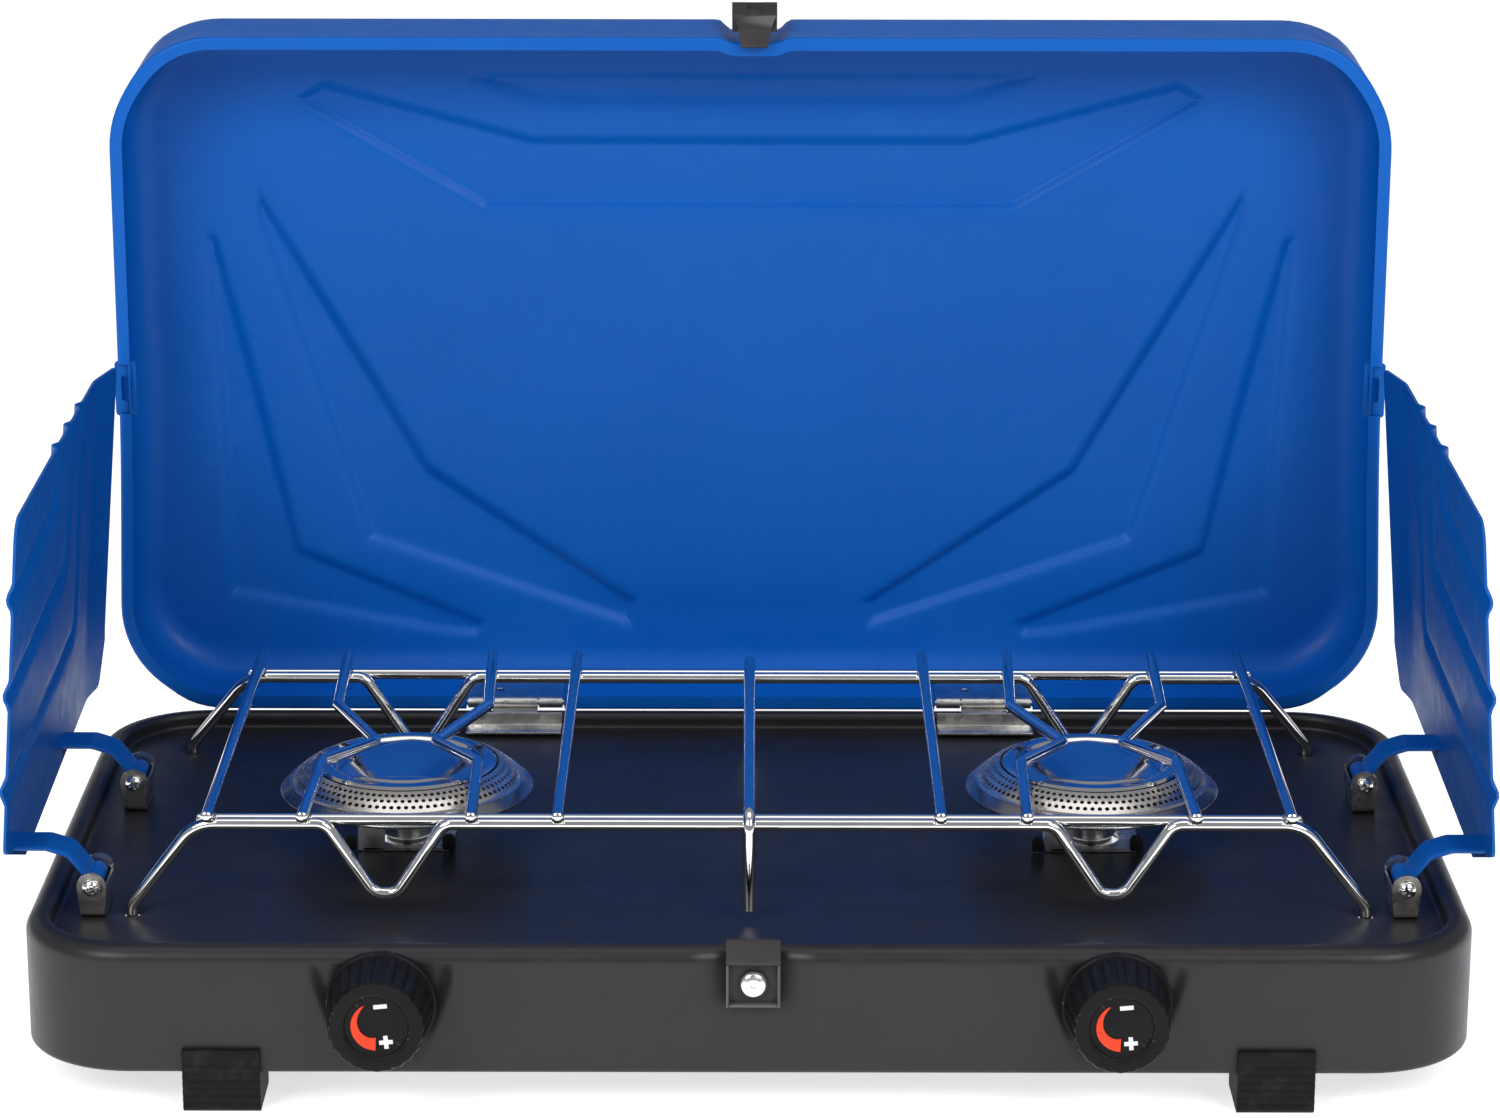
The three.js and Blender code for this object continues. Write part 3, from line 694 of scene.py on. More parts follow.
def dented(x, y, z):
    """The front wall is pressed in a little round each knob, and with the shoulder round the catch."""
    if y > -HALF_D + SHOULDER + 4:
        return (x, y, z)
    half, narrowing, depth = POCKET
    reach = half - narrowing * (KNOB.z + 12 - z)
    beside = 1 - float(ramp(abs(abs(x) - KNOB.x), reach - 2, reach + 2))
    tall = float(ramp(z, 16, 26)) * (1 - float(ramp(z, KNOB.z + 9, KNOB.z + 14)))
    y += depth * beside * tall * float(ramp(-y, HALF_D - 1.5, HALF_D - 0.5))
    half, depth = CATCH_DENT
    side = math.exp(-(((x - CATCH_X) / half) ** 4))
    level = float(ramp(z, 36, 52))
    near = float(ramp(-y, HALF_D - SHOULDER - 2, HALF_D - 1))
    return (x, y + depth * side * level * near, z - 0.9 * side * level)


def case_skin():
    section = rounded([
        (SHOULDER + 3, DECK), (SHOULDER, DECK, 1.5), (SHOULDER, SHOULDER_TOP, 2.6),
        (0, SHOULDER_TOP, 5.8), (0, CASE_BOTTOM, 2), (SHOULDER, CASE_BOTTOM, 1.2),
        (SHOULDER, CASE_BOTTOM + 3),
    ], turn=10)
    wall_levels = [(0, z) for z in range(50, 16, -3)]
    outline = flat_points(section)
    top = max(k for k, (inset, z) in enumerate(outline) if abs(inset) < 1e-6 and z > 40)
    outline = outline[:top + 1] + wall_levels + outline[top + 1:]
    breaks_x = even_breaks(HALF_W - CASE_CORNER, 14, fine=(30, 2))
    near_knobs = [round(sign * KNOB.x + 1.5 * k, 3) for _, sign in SIDES for k in range(-19, 20)]
    breaks_x = sorted({b for b in breaks_x if abs(abs(b) - KNOB.x) > 30}.union(near_knobs))
    breaks_y = even_breaks(HALF_D - CASE_CORNER, 14)
    rows = []
    for inset, z in outline:
        loop = rounded_rectangle(HALF_W - inset, HALF_D - inset, CASE_CORNER - inset, breaks_x, breaks_y)
        rows.append([Vector((x, y, z)) for x, y in loop])
    holes = [[(hx + a, hy + b) for a, b in ring_of(2.9, 20)] for hx, hy in LEG_HOLES]
    holes += [[(sign * BURNER.x + a, BURNER.y + b) for a, b in ring_of(NECK + 1.5, 48)] for _, sign in SIDES]

    def near_holes(points):
        mask = np.zeros(len(points), bool)
        for hole in LEG_HOLES:
            mask |= np.linalg.norm(points - np.array(hole), axis=1) < 14
        return mask

    flat, faces = filled(flat_points(rows[0]), holes, 14, (1.8, near_holes))
    deck = [Vector((x, y, deck_height(x, y))) for x, y in flat], faces
    return mapped(joined(grid(rows, closed=True), deck), dented)


def base_case():
    inlet = node_middle("inlet_fitting")
    wall_hole = moved(rod(9, -6, 6, "x", 40), HALF_W, inlet.y, inlet.z)
    make("base_shell", case_skin(), CHARCOAL, thick=SHEET, outward_from=(0, 0, 30), cuts=[wall_hole])


def rubber_foot(front):
    """An L-shaped foot round the bottom edge of the wall, ribbed on its face."""
    wall, proud, tuck = HALF_D, 3, 24
    height = node_box("foot_front_left")[1].z
    outside = wall + proud
    outline = [(outside - 1.4, 0), (outside, 1.4)]
    ribs = 6
    pitch = (height - 6) / ribs
    for rib in range(ribs):
        start = 2.4 + rib * pitch
        outline += [(outside, start), (outside - 0.45, start + 0.5), (outside - 0.45, start + 0.9),
                    (outside, start + 1.4)]
    outline += [(outside, height - 3), (outside, height - 1.1), (outside - 0.9, height),
                (wall + 0.4, height), (wall + 0.4, CASE_BOTTOM - 0.4), (wall - tuck, CASE_BOTTOM - 0.4),
                (wall - tuck, 1), (wall - tuck + 1, 0)]
    if front:
        outline = [(-y, z) for y, z in outline]
    return prism(outline, -13.5, 13.5, "x")


def rubber_feet():
    for side, _ in SIDES:
        for end in ("front", "rear"):
            node = f"foot_{end}_{side}"
            foot = moved(rubber_foot(end == "front"), node_middle(node).x)
            make(node, foot, RUBBER, bevel=0.35, sharp=50)


def latch_catch():
    """The catch: a dished plate with side flanges, and above it a sloping nose for the latch to hook."""
    face = -HALF_D - 0.4
    half = 9.4
    low, lip = 39.6, 55.4
    hook = [(face, lip), (-132.6, 61.9), (-133.4, 62.5), (-134.4, 62.4), (-141, 56.6), (-141, lip + 0.5),
            (-140.4, lip)]
    nose = prism(hook, -half, half, "x")
    plate = prism([(face, low), (face, lip), (-137.4, lip), (-137.4, low)], -half, half, "x")
    flange = prism([(face, low), (face, lip), (-140.6, lip), (-140.2, low)], half - 1, half, "x")
    foot = prism([(face, low), (face, low + 1), (-139.6, low + 1), (-139.6, low)], -half, half, "x")
    piece = joined(nose, plate, flange, mirrored(flange), foot)
    hole = moved(rod(2.4, -5, 5, "y"), CATCH_X, -137, RIVET.z)
    make("latch_catch", moved(piece, CATCH_X), LATCH_PLASTIC, bevel=0.22, cuts=[hole])


def catch_rivet():
    outline = rounded([
        (0, -140.6), (0.5, -140.6), (0.8, -140.95), (2.6, -140.7, 2), (4.0, -140.1, 1.5),
        (4.9, -139.1, 0.5), (4.9, -138.4), (2, -138.4), (2, -134.6), (3.4, -134.6, 0.4),
        (3, -133.4, 0.4), (0, -133.4),
    ])
    make("catch_rivet", moved(turned(outline, "y"), RIVET.x, 0, RIVET.z), ALUMINIUM)


# ---------------------------------------------------------------- gas train

def gas_manifold():
    """The pipe that feeds both valves, bent to meet the inlet in the right wall."""
    low, high = node_box("gas_manifold")
    inlet = node_middle("inlet_fitting")
    radius = 4.5
    y, z = low.y + radius, low.z + radius
    turn = high.x - 19.6
    path = rounded([
        (low.x, y, z), (turn, y, z, 12), (turn, inlet.y, inlet.z, 12), (high.x, inlet.y, inlet.z),
    ], dims=3)
    make("gas_manifold", tube(path, radius, 28, 0.3), ZINC)


def inlet_fitting():
    """A stepped brass fitting with a threaded mouth."""
    inlet = node_middle("inlet_fitting")
    start, end = (corner.x for corner in node_box("inlet_fitting"))
    threads = []
    for k in range(6):
        at = end - 8.4 + k * 1.3
        threads += [(4.5, at), (4.9, at + 0.65)]
    outline = [(0, start), (6, start), (6, start + 5.4), (6.6, start + 6), (7.4, start + 6), (8, start + 6.6),
               (8, end - 0.6), (7.4, end), (5, end), (4.5, end - 0.5), *threads[::-1],
               (4.5, end - 9), (0, end - 9)]
    make("inlet_fitting", moved(turned(outline, "x", 48), 0, inlet.y, inlet.z), BRASS)


def valve_body(front, tip):
    """A valve: hexagonal in front, then round, with a thin jet at the tip and a bore for the stem."""
    def flats(angle, r, along):
        hexagon = 0.9 * abs(math.cos(3 * angle)) - 0.9
        return hexagon if r > 8 and along < front + 14 else 0

    bore = [(0, front + 7), (4.4, front + 7), (4.4, front)]
    body = [(4.4, front), (8.6, front), (9, front + 0.5), (9, front + 13.4), (8.5, front + 14),
            (7, front + 14.4), (7, front + 24), (8.4, front + 24.6), (8.4, front + 30),
            (7.6, front + 30.6), (3, front + 30.6)]
    jet = [(2.4, tip - 4), (2, tip), (0.6, tip), (0.5, tip - 2), (0, tip - 2)]
    return turned(bore + body + jet, "y", 48, flats)


def valve_stem(front, back):
    return turned([(0, front), (3.4, front), (4, front + 0.6), (4, back), (0, back)], "y", 32)


def venturi_tube(start, end):
    """The mixing tube, from its wide mouth through its throat."""
    skin = rounded([
        (9.4, start), (9.5, start + 3.6, 1), (6.6, start + 14, 5), (8, start + 34, 8), (8, end),
    ], turn=8)
    return turned(skin, "y", 48)


def gas_train():
    gas_manifold()
    inlet_fitting()
    for side, sign in SIDES:
        at = {"x": sign * KNOB.x, "z": KNOB.z}
        for kind, shape in (("valve_body", valve_body), ("valve_stem", valve_stem)):
            front, back = (corner.y for corner in node_box(f"{kind}_{side}"))
            make(f"{kind}_{side}", moved(shape(front, back), **at), BRASS)
        front, back = (corner.y for corner in node_box(f"venturi_tube_{side}"))
        bell = moved(venturi_tube(front, back), **at)
        make(f"venturi_tube_{side}", bell, ZINC, thick=0.9, outward_from=(at["x"], -56, at["z"]))


# ---------------------------------------------------------------- burners

def burner_pan():
    """Neck and flange: one deep-drawn steel cup whose rim folds up and in under the ring."""
    skin = rounded([
        (0, 33), (8, 33, 2.5), (8, 67, 2.5), (NECK + 7, 69.6, 4), (43.5, 72.6, 4),
        (47.5, 74.2, 0.7), (42.3, 78.1),
    ], turn=10)
    return turned(skin, "z", 128)


def round_row(radius, z, angles):
    """Points at the given angles round a burner's axis."""
    return [Vector((radius * math.cos(a), radius * math.sin(a), z)) for a in angles]


def perforated_ring():
    """The conical burner ring, really pierced by three staggered rows of flame holes."""
    count, rows = 96, 3
    low_r, high_r, low_z, high_z = 42.4, 34.3, 78.3, 83.9
    slant = math.hypot(low_r - high_r, high_z - low_z)
    hole, margin = 0.78, 0.95
    height = (slant - 2 * margin) / rows

    def on_cone(angle, s):
        t = s / slant
        bulge = 0.5 * math.sin(math.pi * t)
        r = low_r + (high_r - low_r) * t + bulge * 0.5
        return Vector((r * math.cos(angle), r * math.sin(angle), low_z + (high_z - low_z) * t + bulge))

    shapes = []
    step = 2 * math.pi / count
    for row in range(rows):
        low, high = margin + row * height, margin + (row + 1) * height
        middle = (low + high) / 2
        shift = 0.5 * (row % 2)
        reach = hole / 37
        for k in range(count):
            a = (k + shift) * step
            left, right = a - step / 2, a + step / 2
            frame_points = [(right, middle), (right, high), (a, high), (left, high), (left, middle),
                            (left, low), (a, low), (right, low)]
            round_points = []
            for corner in range(8):
                turn = corner * math.pi / 4
                round_points.append((a + reach * math.cos(turn), middle + hole * math.sin(turn)))
            shapes.append(grid([[on_cone(*p) for p in loop] for loop in (frame_points, round_points)], True))
    half_steps = [k * step / 2 for k in range(2 * count)]
    for low, high in ((0, margin), (slant - margin, slant)):
        levels = [low, (low + high) / 2, high]
        shapes.append(grid([[on_cone(a, s) for a in half_steps] for s in levels], closed=True))
    lip = [round_row(low_r + 0.5, 78.25, half_steps), round_row(low_r + 0.9, 78.0, half_steps)]
    shapes.append(grid([[on_cone(a, 0) for a in half_steps], *lip], True))
    return joined(*shapes)


def burner_shade_cone():
    """A dark cone just inside the ring that the flame holes look onto: painted shade standing for the dark
    inside of the burner.
    """
    return turned([(30, 82.2), (33.2, 82.2), (41, 76.8), (40, 76.4), (30, 81.6), (30, 82.2)], "z", 96)


def burner_neck():
    """The cast neck below the pan, rounded at its foot."""
    skin = rounded([(8.3, 56), (9.1, 56, 1.2), (9.3, 66.4, 1), (12.5, 68.6), (8.3, 68.2), (8.3, 56)])
    return turned(skin, "z", 72)


def cap_height(radius, angle):
    """The pressed cap: a flat raised rim, and in it a three-lobed dish with a step all round."""
    lobes = 3 * (angle - math.radians(90))
    edge = 21.5 + 4.6 * math.cos(lobes)
    dish = 1 - float(ramp(radius, edge - 1.1, edge + 1.1))
    trough = 1 - float(ramp(abs(radius - 24.6), 1.2, 3.0))
    rim = float(ramp(radius, 26.6, 28.4))
    roll = float(ramp(radius, 31.4, 33.2))
    return 84.1 - 0.9 * trough * (1 - dish) - 0.25 * dish + 0.8 * rim - 0.75 * roll


def burner_cap():
    radii = [0.01] + [1.6 * k for k in range(1, 9)] + [13 + 0.55 * k for k in range(37)]
    angles = [2 * math.pi * k / 144 for k in range(144)]
    rows = [[Vector((r * math.cos(a), r * math.sin(a), cap_height(r, a))) for a in angles] for r in radii]
    rows += [round_row(r, z, angles) for r, z in ((33.3, 83.95), (33.2, 83.6), (32.6, 83.45))]
    return grid(rows, closed=True)


def strip_bracket():
    """The strip that the neck stands in."""
    low = DECK + 0.4
    hole = ring_of(NECK + 0.6, 40)
    corners = rounded([(17.5, 14, 2), (-17.5, 14, 2), (-17.5, -14, 2), (17.5, -14, 2)], closed=True)
    flat, faces = filled(flat_points(corners), [hole], 6)
    return [Vector((x, y, low + SHEET)) for x, y in flat], faces


def bracket_ear(left, right, top):
    """A small upright tab of the strip, from x = left to x = right."""
    low = DECK + 0.4
    side = [(left, low), (left, low + top - 1.5), (left + 1.2, low + top), (right - 1.2, low + top),
            (right, low + top - 1.5), (right, low)]
    return prism(side, -14, -12.9, "y")


def burners():
    for side, sign in SIDES:
        at = {"x": sign * BURNER.x, "y": BURNER.y}
        under, middle, over = ((at["x"], at["y"], z) for z in (0, 60, 76))
        pan, ring, cap = moved(burner_pan(), **at), moved(perforated_ring(), **at), moved(burner_cap(), **at)
        make(f"burner_base_{side}", pan, PAN, thick=0.8, outward_from=over)
        add(f"burner_neck_{side}", moved(burner_neck(), **at), CAST, "base", "zinc_steel")
        add(f"burner_shade_cone_{side}", moved(burner_shade_cone(), **at), SOOT_AND_SHADE, "base", "zinc_steel")
        make(f"burner_ring_{side}", ring, RING, thick=0.55, outward_from=middle, sharp=50)
        make(f"burner_cap_{side}", cap, POLISHED, thick=0.5, outward_from=middle, sharp=60)
        plate = moved(strip_bracket(), **at)
        make(f"burner_bracket_{side}", plate, ZINC, thick=SHEET, outward_from=under)
        ear = moved(bracket_ear(-17.5, -7.5, 12.6), **at)
        add(f"burner_bracket_ears_{side}", ear, CAST, "base", "zinc_steel", bevel=0.25)
        clips = moved(joined(bracket_ear(-22.5, -18.2, 5.6), bracket_ear(13.6, 18.4, 6.4)), **at)
        add(f"burner_bracket_clips_{side}", clips, SOOT_AND_SHADE, "base", "zinc_steel", bevel=0.25)


# ---------------------------------------------------------------- knobs

DIAL_Y = KNOB_FRONT - 3  # the fine knob stands a little further out than the plain one


FLUTES = 24


def knob_shape():
    """A tapered knob with flutes that fade out towards its face, and a shallow round dish in the face."""
    face_r, base_r = 16.5, 19.2
    length = KNOB_BACK - DIAL_Y
    outline = rounded([
        (0, 1.5), (10.6, 1.5, 0.4), (11.3, 0.5, 0.4), (12.4, 0, 0.6),
        (face_r - 0.5, 0, 0.6), (face_r + 0.2, 1.5, 1), (18.3, length - 4.4), (18.4, length - 3.2, 0.4),
        (base_r, length - 2.6, 0.4), (base_r, length, 0.6), (4.4, length), (4.4, 8), (0, 8),
    ], turn=15)
    outline = flat_points(outline)
    dense = []
    for (r0, h0), (r1, h1) in zip(outline, outline[1:]):
        steps = max(1, int(math.hypot(r1 - r0, h1 - h0) / 1.4))
        dense += [(r0 + (r1 - r0) * t / steps, h0 + (h1 - h0) * t / steps) for t in range(steps)]
    dense.append(outline[-1])

    def flutes(angle, radius, along):
        groove = (0.5 - 0.5 * math.cos(FLUTES * angle)) ** 1.6
        outer = float(ramp(radius, 15.4, 16.2)) * (1 - float(ramp(along, length - 4.6, length - 3.4)))
        return -(0.35 + 0.75 * float(ramp(along, 0.5, 5))) * groove * outer

    return turned(dense, "y", FLUTES * 12, flutes)


def dial_marks():
    """The raised ink on the dial: a crescent that grows, a minus where it starts and a plus where it ends."""
    outer, low, high = 8.7, 1.15, 1.86
    arc = [math.radians(a) for a in range(118, 274, 6)]
    widths = [4.5 * ((a - arc[0]) / (arc[-1] - arc[0])) ** 0.8 + 0.25 for a in arc]
    outside = [(outer * math.cos(a), outer * math.sin(a)) for a in arc]
    within = [((outer - w) * math.cos(a), (outer - w) * math.sin(a)) for a, w in zip(arc, widths)]
    crescent = prism(outside + within[::-1], low, high, "y")
    tilt = math.radians(5)

    def mark(outline, x, z):
        c, s = math.cos(tilt), math.sin(tilt)
        return prism([(x + a * c - b * s, z + a * s + b * c) for a, b in outline], low, high, "y")

    half, thin = 2.35, 0.75
    bar = rectangle((-half, -thin), (half, thin))
    cross = [(half, -thin), (half, thin), (thin, thin), (thin, half), (-thin, half), (-thin, thin),
             (-half, thin), (-half, -thin), (-thin, -thin), (-thin, -half), (thin, -half), (thin, -thin)]
    return crescent, mark(bar, 1.55, 7.3), mark(cross, 3.3, -5.7)


def knobs():
    for side, sign in SIDES:
        at = {"x": sign * KNOB.x, "y": DIAL_Y, "z": KNOB.z - 0.6}
        body = body_of[f"knob_{side}"]
        make(f"knob_{side}", moved(knob_shape(), **at), PLASTIC, sharp=42)
        crescent, minus, plus = dial_marks()
        add(f"knob_arc_{side}", moved(crescent, **at), RED, body, "black_plastic", bevel=0.08)
        add(f"knob_minus_{side}", moved(minus, **at), WHITE, body, "black_plastic", bevel=0.1)
        add(f"knob_plus_{side}", moved(plus, **at), WHITE, body, "black_plastic", bevel=0.1)


# ---------------------------------------------------------------- grate

def weld_bead(x, y, z, seed, size=1.25):
    """A small flat uneven blob of weld where two wires cross."""
    work = bmesh.new()
    bmesh.ops.create_icosphere(work, subdivisions=3, radius=size)
    points = []
    for v in work.verts:
        lump = 1 + 0.3 * noise.noise(v.co * 0.9 + Vector((seed * 3.1, 0, 0)))
        points.append(Vector((v.co.x * 1.25 * lump + x, v.co.y * lump + y, v.co.z * 0.8 * lump + z)))
    faces = [tuple(v.index for v in f.verts) for f in work.faces]
    work.free()
    return points, faces


RAIL_END = 196
RAIL_YS = {"front": -86.0, "rear": 86.0}


def formed_wire(rail_y, foot_y):
    """A rail with a leg at each end and a V that dips towards each burner."""
    dip, half_top, half_bottom, dip_z = 129, 21, 4.2, 61.5
    right = [
        (LEG_X, foot_y, DECK - 4), (LEG_X, foot_y, DECK + 2.5, 5.5), (RAIL_END, rail_y, RAIL_Z, 14),
        (dip + half_top, rail_y, RAIL_Z, 6), (dip + half_bottom, rail_y, dip_z, 6.8),
        (dip - half_bottom, rail_y, dip_z, 6.8), (dip - half_top, rail_y, RAIL_Z, 6),
    ]
    left = [(-x, *rest) for x, *rest in reversed(right)]
    return tube(rounded(right + left, dims=3, turn=8), WIRE, 24)


CROSS_ENDS = (-94, 101)


def cross_wire(kind, sign):
    """One wire across the rails: straight, or bent in towards the burner on either side of it."""
    front, rear = CROSS_ENDS
    if kind in ("end", "straight"):
        x = 191 if kind == "end" else 67.5
        route = [(x, front), (x, rear)]
    elif kind == "outer":
        route = [(157.5, front), (156, -32, 3.4), (138, -8, 3.4), (156, 36, 3.4), (157.5, rear)]
    else:
        route = [(98, front), (99, -32, 3.4), (116, -8, 3.4), (99, 36, 3.4), (101, rear)]
    return [(sign * p.x, p.y, CROSS_Z) for p in rounded(route, turn=8)]


def beads(path, bar_ys, start):
    """A weld bead wherever a cross wire's path passes over a bar."""
    shapes = []
    for k, y in enumerate(bar_ys):
        x = min(path, key=lambda p: abs(p[1] - y))[0]
        shapes.append(weld_bead(x, y, (RAIL_Z + CROSS_Z) / 2, start + k))
    return shapes


def grate():
    bar_ys = []
    for end, rail_y in RAIL_YS.items():
        make(f"grate_{end}_wire", formed_wire(rail_y, LEG_YS[end]), CHROME)
        bar_y = node_middle(f"grate_{end}_bar").y
        path = [(x, bar_y, RAIL_Z) for x in (-RAIL_END, -100, 0, 100, RAIL_END)]
        make(f"grate_{end}_bar", tube(path, WIRE, 24), CHROME)
        bar_ys += [rail_y, bar_y]
    ground = DECK + 0.4
    legs = [(0, -91, ground + 3), (0, -91, CROSS_Z, 6), (0, 97, CROSS_Z, 6), (0, 97, ground)]
    middle = tube(rounded(legs, dims=3, turn=8), WIRE, 24, 0.3)
    make("grate_wire_middle", joined(middle, *beads([(0, 0)], bar_ys, 0.6)), CHROME)
    for side, sign in SIDES:
        for k, kind in enumerate(("end", "outer", "inner", "straight")):
            path = cross_wire(kind, sign)
            shape = joined(tube(path, WIRE, 24), *beads(path, bar_ys, 10 * k + sign + 0.37))
            make(f"grate_wire_{kind}_{side}", shape, CHROME)


# ---------------------------------------------------------------- lid

def lid_place(x, across, height):
    """From the lid drawn shut (x, y, z) to where it stands open, turned back about its hinge."""
    return (x, HINGE.y + (height - HINGE.z), HINGE.z - (across - HINGE.y))


SHUT_RIM = HINGE.z + LID_RIM_Y - HINGE.y
SHUT_TOP = HINGE.z + LID_BACK_Y - HINGE.y

# Each pressed band in the panel is the ground between two lines of (x, z) with the lid open.
TOP_BAND = ([(-171, 306), (-87, 284), (87, 284), (171, 306)],
            [(181, 300), (106, 257), (-106, 257), (-181, 300)])
UPPER_STEP = ([(-112, 309.5), (-84, 299), (84, 299), (112, 309.5)], [])
INNER_BAND = ([(-198, 262), (-131, 149), (-47, 93)], [(-49, 84), (-155, 120), (-198, 252)])
OUTER_BAND = ([(-216, 244), (-184, 115), (-109, 84)], [(-112, 78), (-211, 97), (-219, 244)])


def mirror_band(band):
    return tuple([(-x, z) for x, z in line] for line in band)


BANDS = [(TOP_BAND, 2.6), (INNER_BAND, 2.6), (mirror_band(INNER_BAND), 2.6), (OUTER_BAND, 2.2),
         (mirror_band(OUTER_BAND), 2.2), (UPPER_STEP, 1.6)]


def band_field(points):
    """How deep each (x, z) point of the open lid's panel is pressed, and how near it is to a ramp."""
    depth = np.zeros(len(points))
    nearest = np.full(len(points), 1e9)
    for (first, second), press in BANDS:
        loop = first + second
        away = distance_to(points, loop, True)
        signed = np.where(inside(points, loop), away, -away)
        depth = np.maximum(depth, press * ramp(signed, -2.4, 2.4))
        nearest = np.minimum(nearest, away)
    return depth, nearest


def lid_skin():
    """The lid's outer skin, drawn shut: hem, rim, walls, rounded edge and pressed panel."""
    section = rounded([
        (HEM, SHUT_RIM), (0, SHUT_RIM, 1.5), (0, SHUT_TOP, LID_EDGE), (LID_EDGE + 3, SHUT_TOP),
    ], turn=7)
    outline = flat_points(section)
    foot = max(k for k, (inset, z) in enumerate(outline) if z < SHUT_RIM + 2)
    walls = [(0, z) for z in (64, 68, 73, 78, 83)]
    outline = outline[:foot + 1] + walls + outline[foot + 1:]
    breaks_x = even_breaks(LID_HALF_W - LID_CORNER, 11, fine=(24, 2))
    breaks_y = even_breaks(LID_HALF_D - LID_CORNER, 11)
    rows = []
    for inset, z in outline:
        loop = rounded_rectangle(LID_HALF_W - inset, LID_HALF_D - inset, LID_CORNER - inset,
                                 breaks_x, breaks_y, 16)
        rows.append([Vector((x, y, z)) for x, y in loop])

    def open_points(points):
        return np.column_stack([points[:, 0], HINGE.z - (points[:, 1] - HINGE.y)])

    def near_ramps(points):
        return band_field(open_points(points))[1] < 3.8

    rim = flat_points(rows[-1])
    flat, faces = filled(rim, (), 7, (1.5, near_ramps))
    depth = band_field(open_points(np.array(flat)))[0] * ramp(distance_to(np.array(flat), rim, True), 0, 4)
    panel = [Vector((x, y, SHUT_TOP + d)) for (x, y), d in zip(flat, depth)], faces
    return joined(grid(rows, closed=True), panel)


def pressed_lid(x, y, z):
    """The lid narrows a little above its hinges, and its long front wall, now on top, climbs a little
    towards the back except where the latch sits. Its hinge wall reaches down almost to the case."""
    level = HINGE.z + HINGE.y - y
    slim = 1 - 0.0115 * float(ramp(level, 70, 190))
    wall = float(ramp(-y, LID_HALF_D - 22, LID_HALF_D - 6))
    back = float(ramp(z, SHUT_RIM, SHUT_TOP - 6))
    latch_seat = math.exp(-(((x - LATCH.x) / 12) ** 8))
    rise = (2.3 + 2.5 * back) * (1 - latch_seat) + 0.2 * latch_seat
    foot = float(ramp(y, LID_HALF_D - 8, LID_HALF_D - 2)) * (1 - float(ramp(z, SHUT_RIM + 8, SHUT_RIM + 14)))
    return (x * slim, y - rise * wall + 1.25 * foot, z)


def lid_notches():
    """Room in the hinge wall for the knuckles, and a slot in the hem at each side."""
    half = 19.7
    low, high = SHUT_RIM - 2, HINGE.z + 3.4
    near, far = LID_HALF_W - 7, LID_HALF_W - 1.4
    notches = []
    for _, sign in SIDES:
        x = sign * HINGE.x
        notch = prism(rectangle((HINGE.y - 7, low), (LID_HALF_D + 3, high)), x - half, x + half, "x")
        slot = prism(rectangle((-6.8, low), (13.2, SHUT_RIM + 1.6)), near, far, "x")
        notches += [mapped(notch, lid_place), mapped(to_side(slot, sign), lid_place)]
    return notches


def lid_shell():
    skin = mapped(mapped(lid_skin(), pressed_lid), lid_place)
    make("lid_shell", skin, BLUE, thick=SHEET, outward_from=(0, LID_RIM_Y, LID_MIDDLE_Z),
         cuts=lid_notches(), even=False)


def lid_clips():
    """Slotted clips behind the hem at each side, which hold the raised windscreens."""
    for side, sign in SIDES:
        low, high = node_box(f"windscreen_clip_{side}")
        near, far = sorted((abs(low.x), abs(high.x)))
        plate = plate_outline((near, low.z), (far, high.z), 1.5)
        slot = plate_outline((near + 2, low.z + 6), (near + 6, low.z + 16), 1)
        solid = to_side(prism(plate, low.y, high.y, "y"), sign)
        hole = to_side(prism(slot, low.y - 3, high.y + 3, "y"), sign)
        make(f"windscreen_clip_{side}", solid, SHADED_SCREEN_BLUE, bevel=0.25, cuts=[hole])


# ---------------------------------------------------------------- hinges

def hinge_barrel(start, end):
    """A rolled knuckle with a hollow for the pin."""
    outline = rounded([
        (1.2, start), (KNUCKLE, start, 0.25), (KNUCKLE, end, 0.25), (1.2, end), (1.2, start),
    ])
    return turned(flat_points(outline), "x", 36)


LEAF_HALF = 19
MIDDLE_HALF = 9
LEDGE = SHOULDER_TOP + 0.4
FOLD_Y = 124.8


def lower_leaf():
    """The lower leaf, from the deck up against the shoulder."""
    low = DECK + 0.4
    run = rounded([(114, low + SHEET), (FOLD_Y, low + SHEET, 1.2), (FOLD_Y, LEDGE + 0.9)], turn=15)
    return grid([[Vector((x, p.x, p.y)) for x in (-LEAF_HALF, 0, LEAF_HALF)] for p in run])


def hinge_strap():
    """The tongue of the lower leaf that runs over the shoulder to the middle knuckle."""
    outline = [(FOLD_Y, LEDGE), (HINGE.y, LEDGE - 0.1), (HINGE.y, LEDGE + 0.8), (FOLD_Y, LEDGE + 0.9)]
    return prism(outline, -MIDDLE_HALF, MIDDLE_HALF, "x")


def lid_leaf():
    """The flat upper leaf, which lies inside the lid's hinge wall and ends at its two knuckles."""
    shut_front, shut_back = LID_HALF_D - SHEET - 1.4, LID_HALF_D - SHEET - 0.4
    outline = rounded([
        (-LEAF_HALF, 65.3), (LEAF_HALF, 65.3), (LEAF_HALF, 87.5, 2), (-LEAF_HALF, 87.5, 2),
    ], closed=True)
    plate = prism(outline, shut_front, shut_back, "y")
    tongues = [prism(rectangle((a, 63.2), (b, 66)), shut_front, shut_back, "y")
               for a, b in ((MIDDLE_HALF + 0.4, LEAF_HALF), (-LEAF_HALF, -MIDDLE_HALF - 0.4))]
    return joined(plate, *tongues)


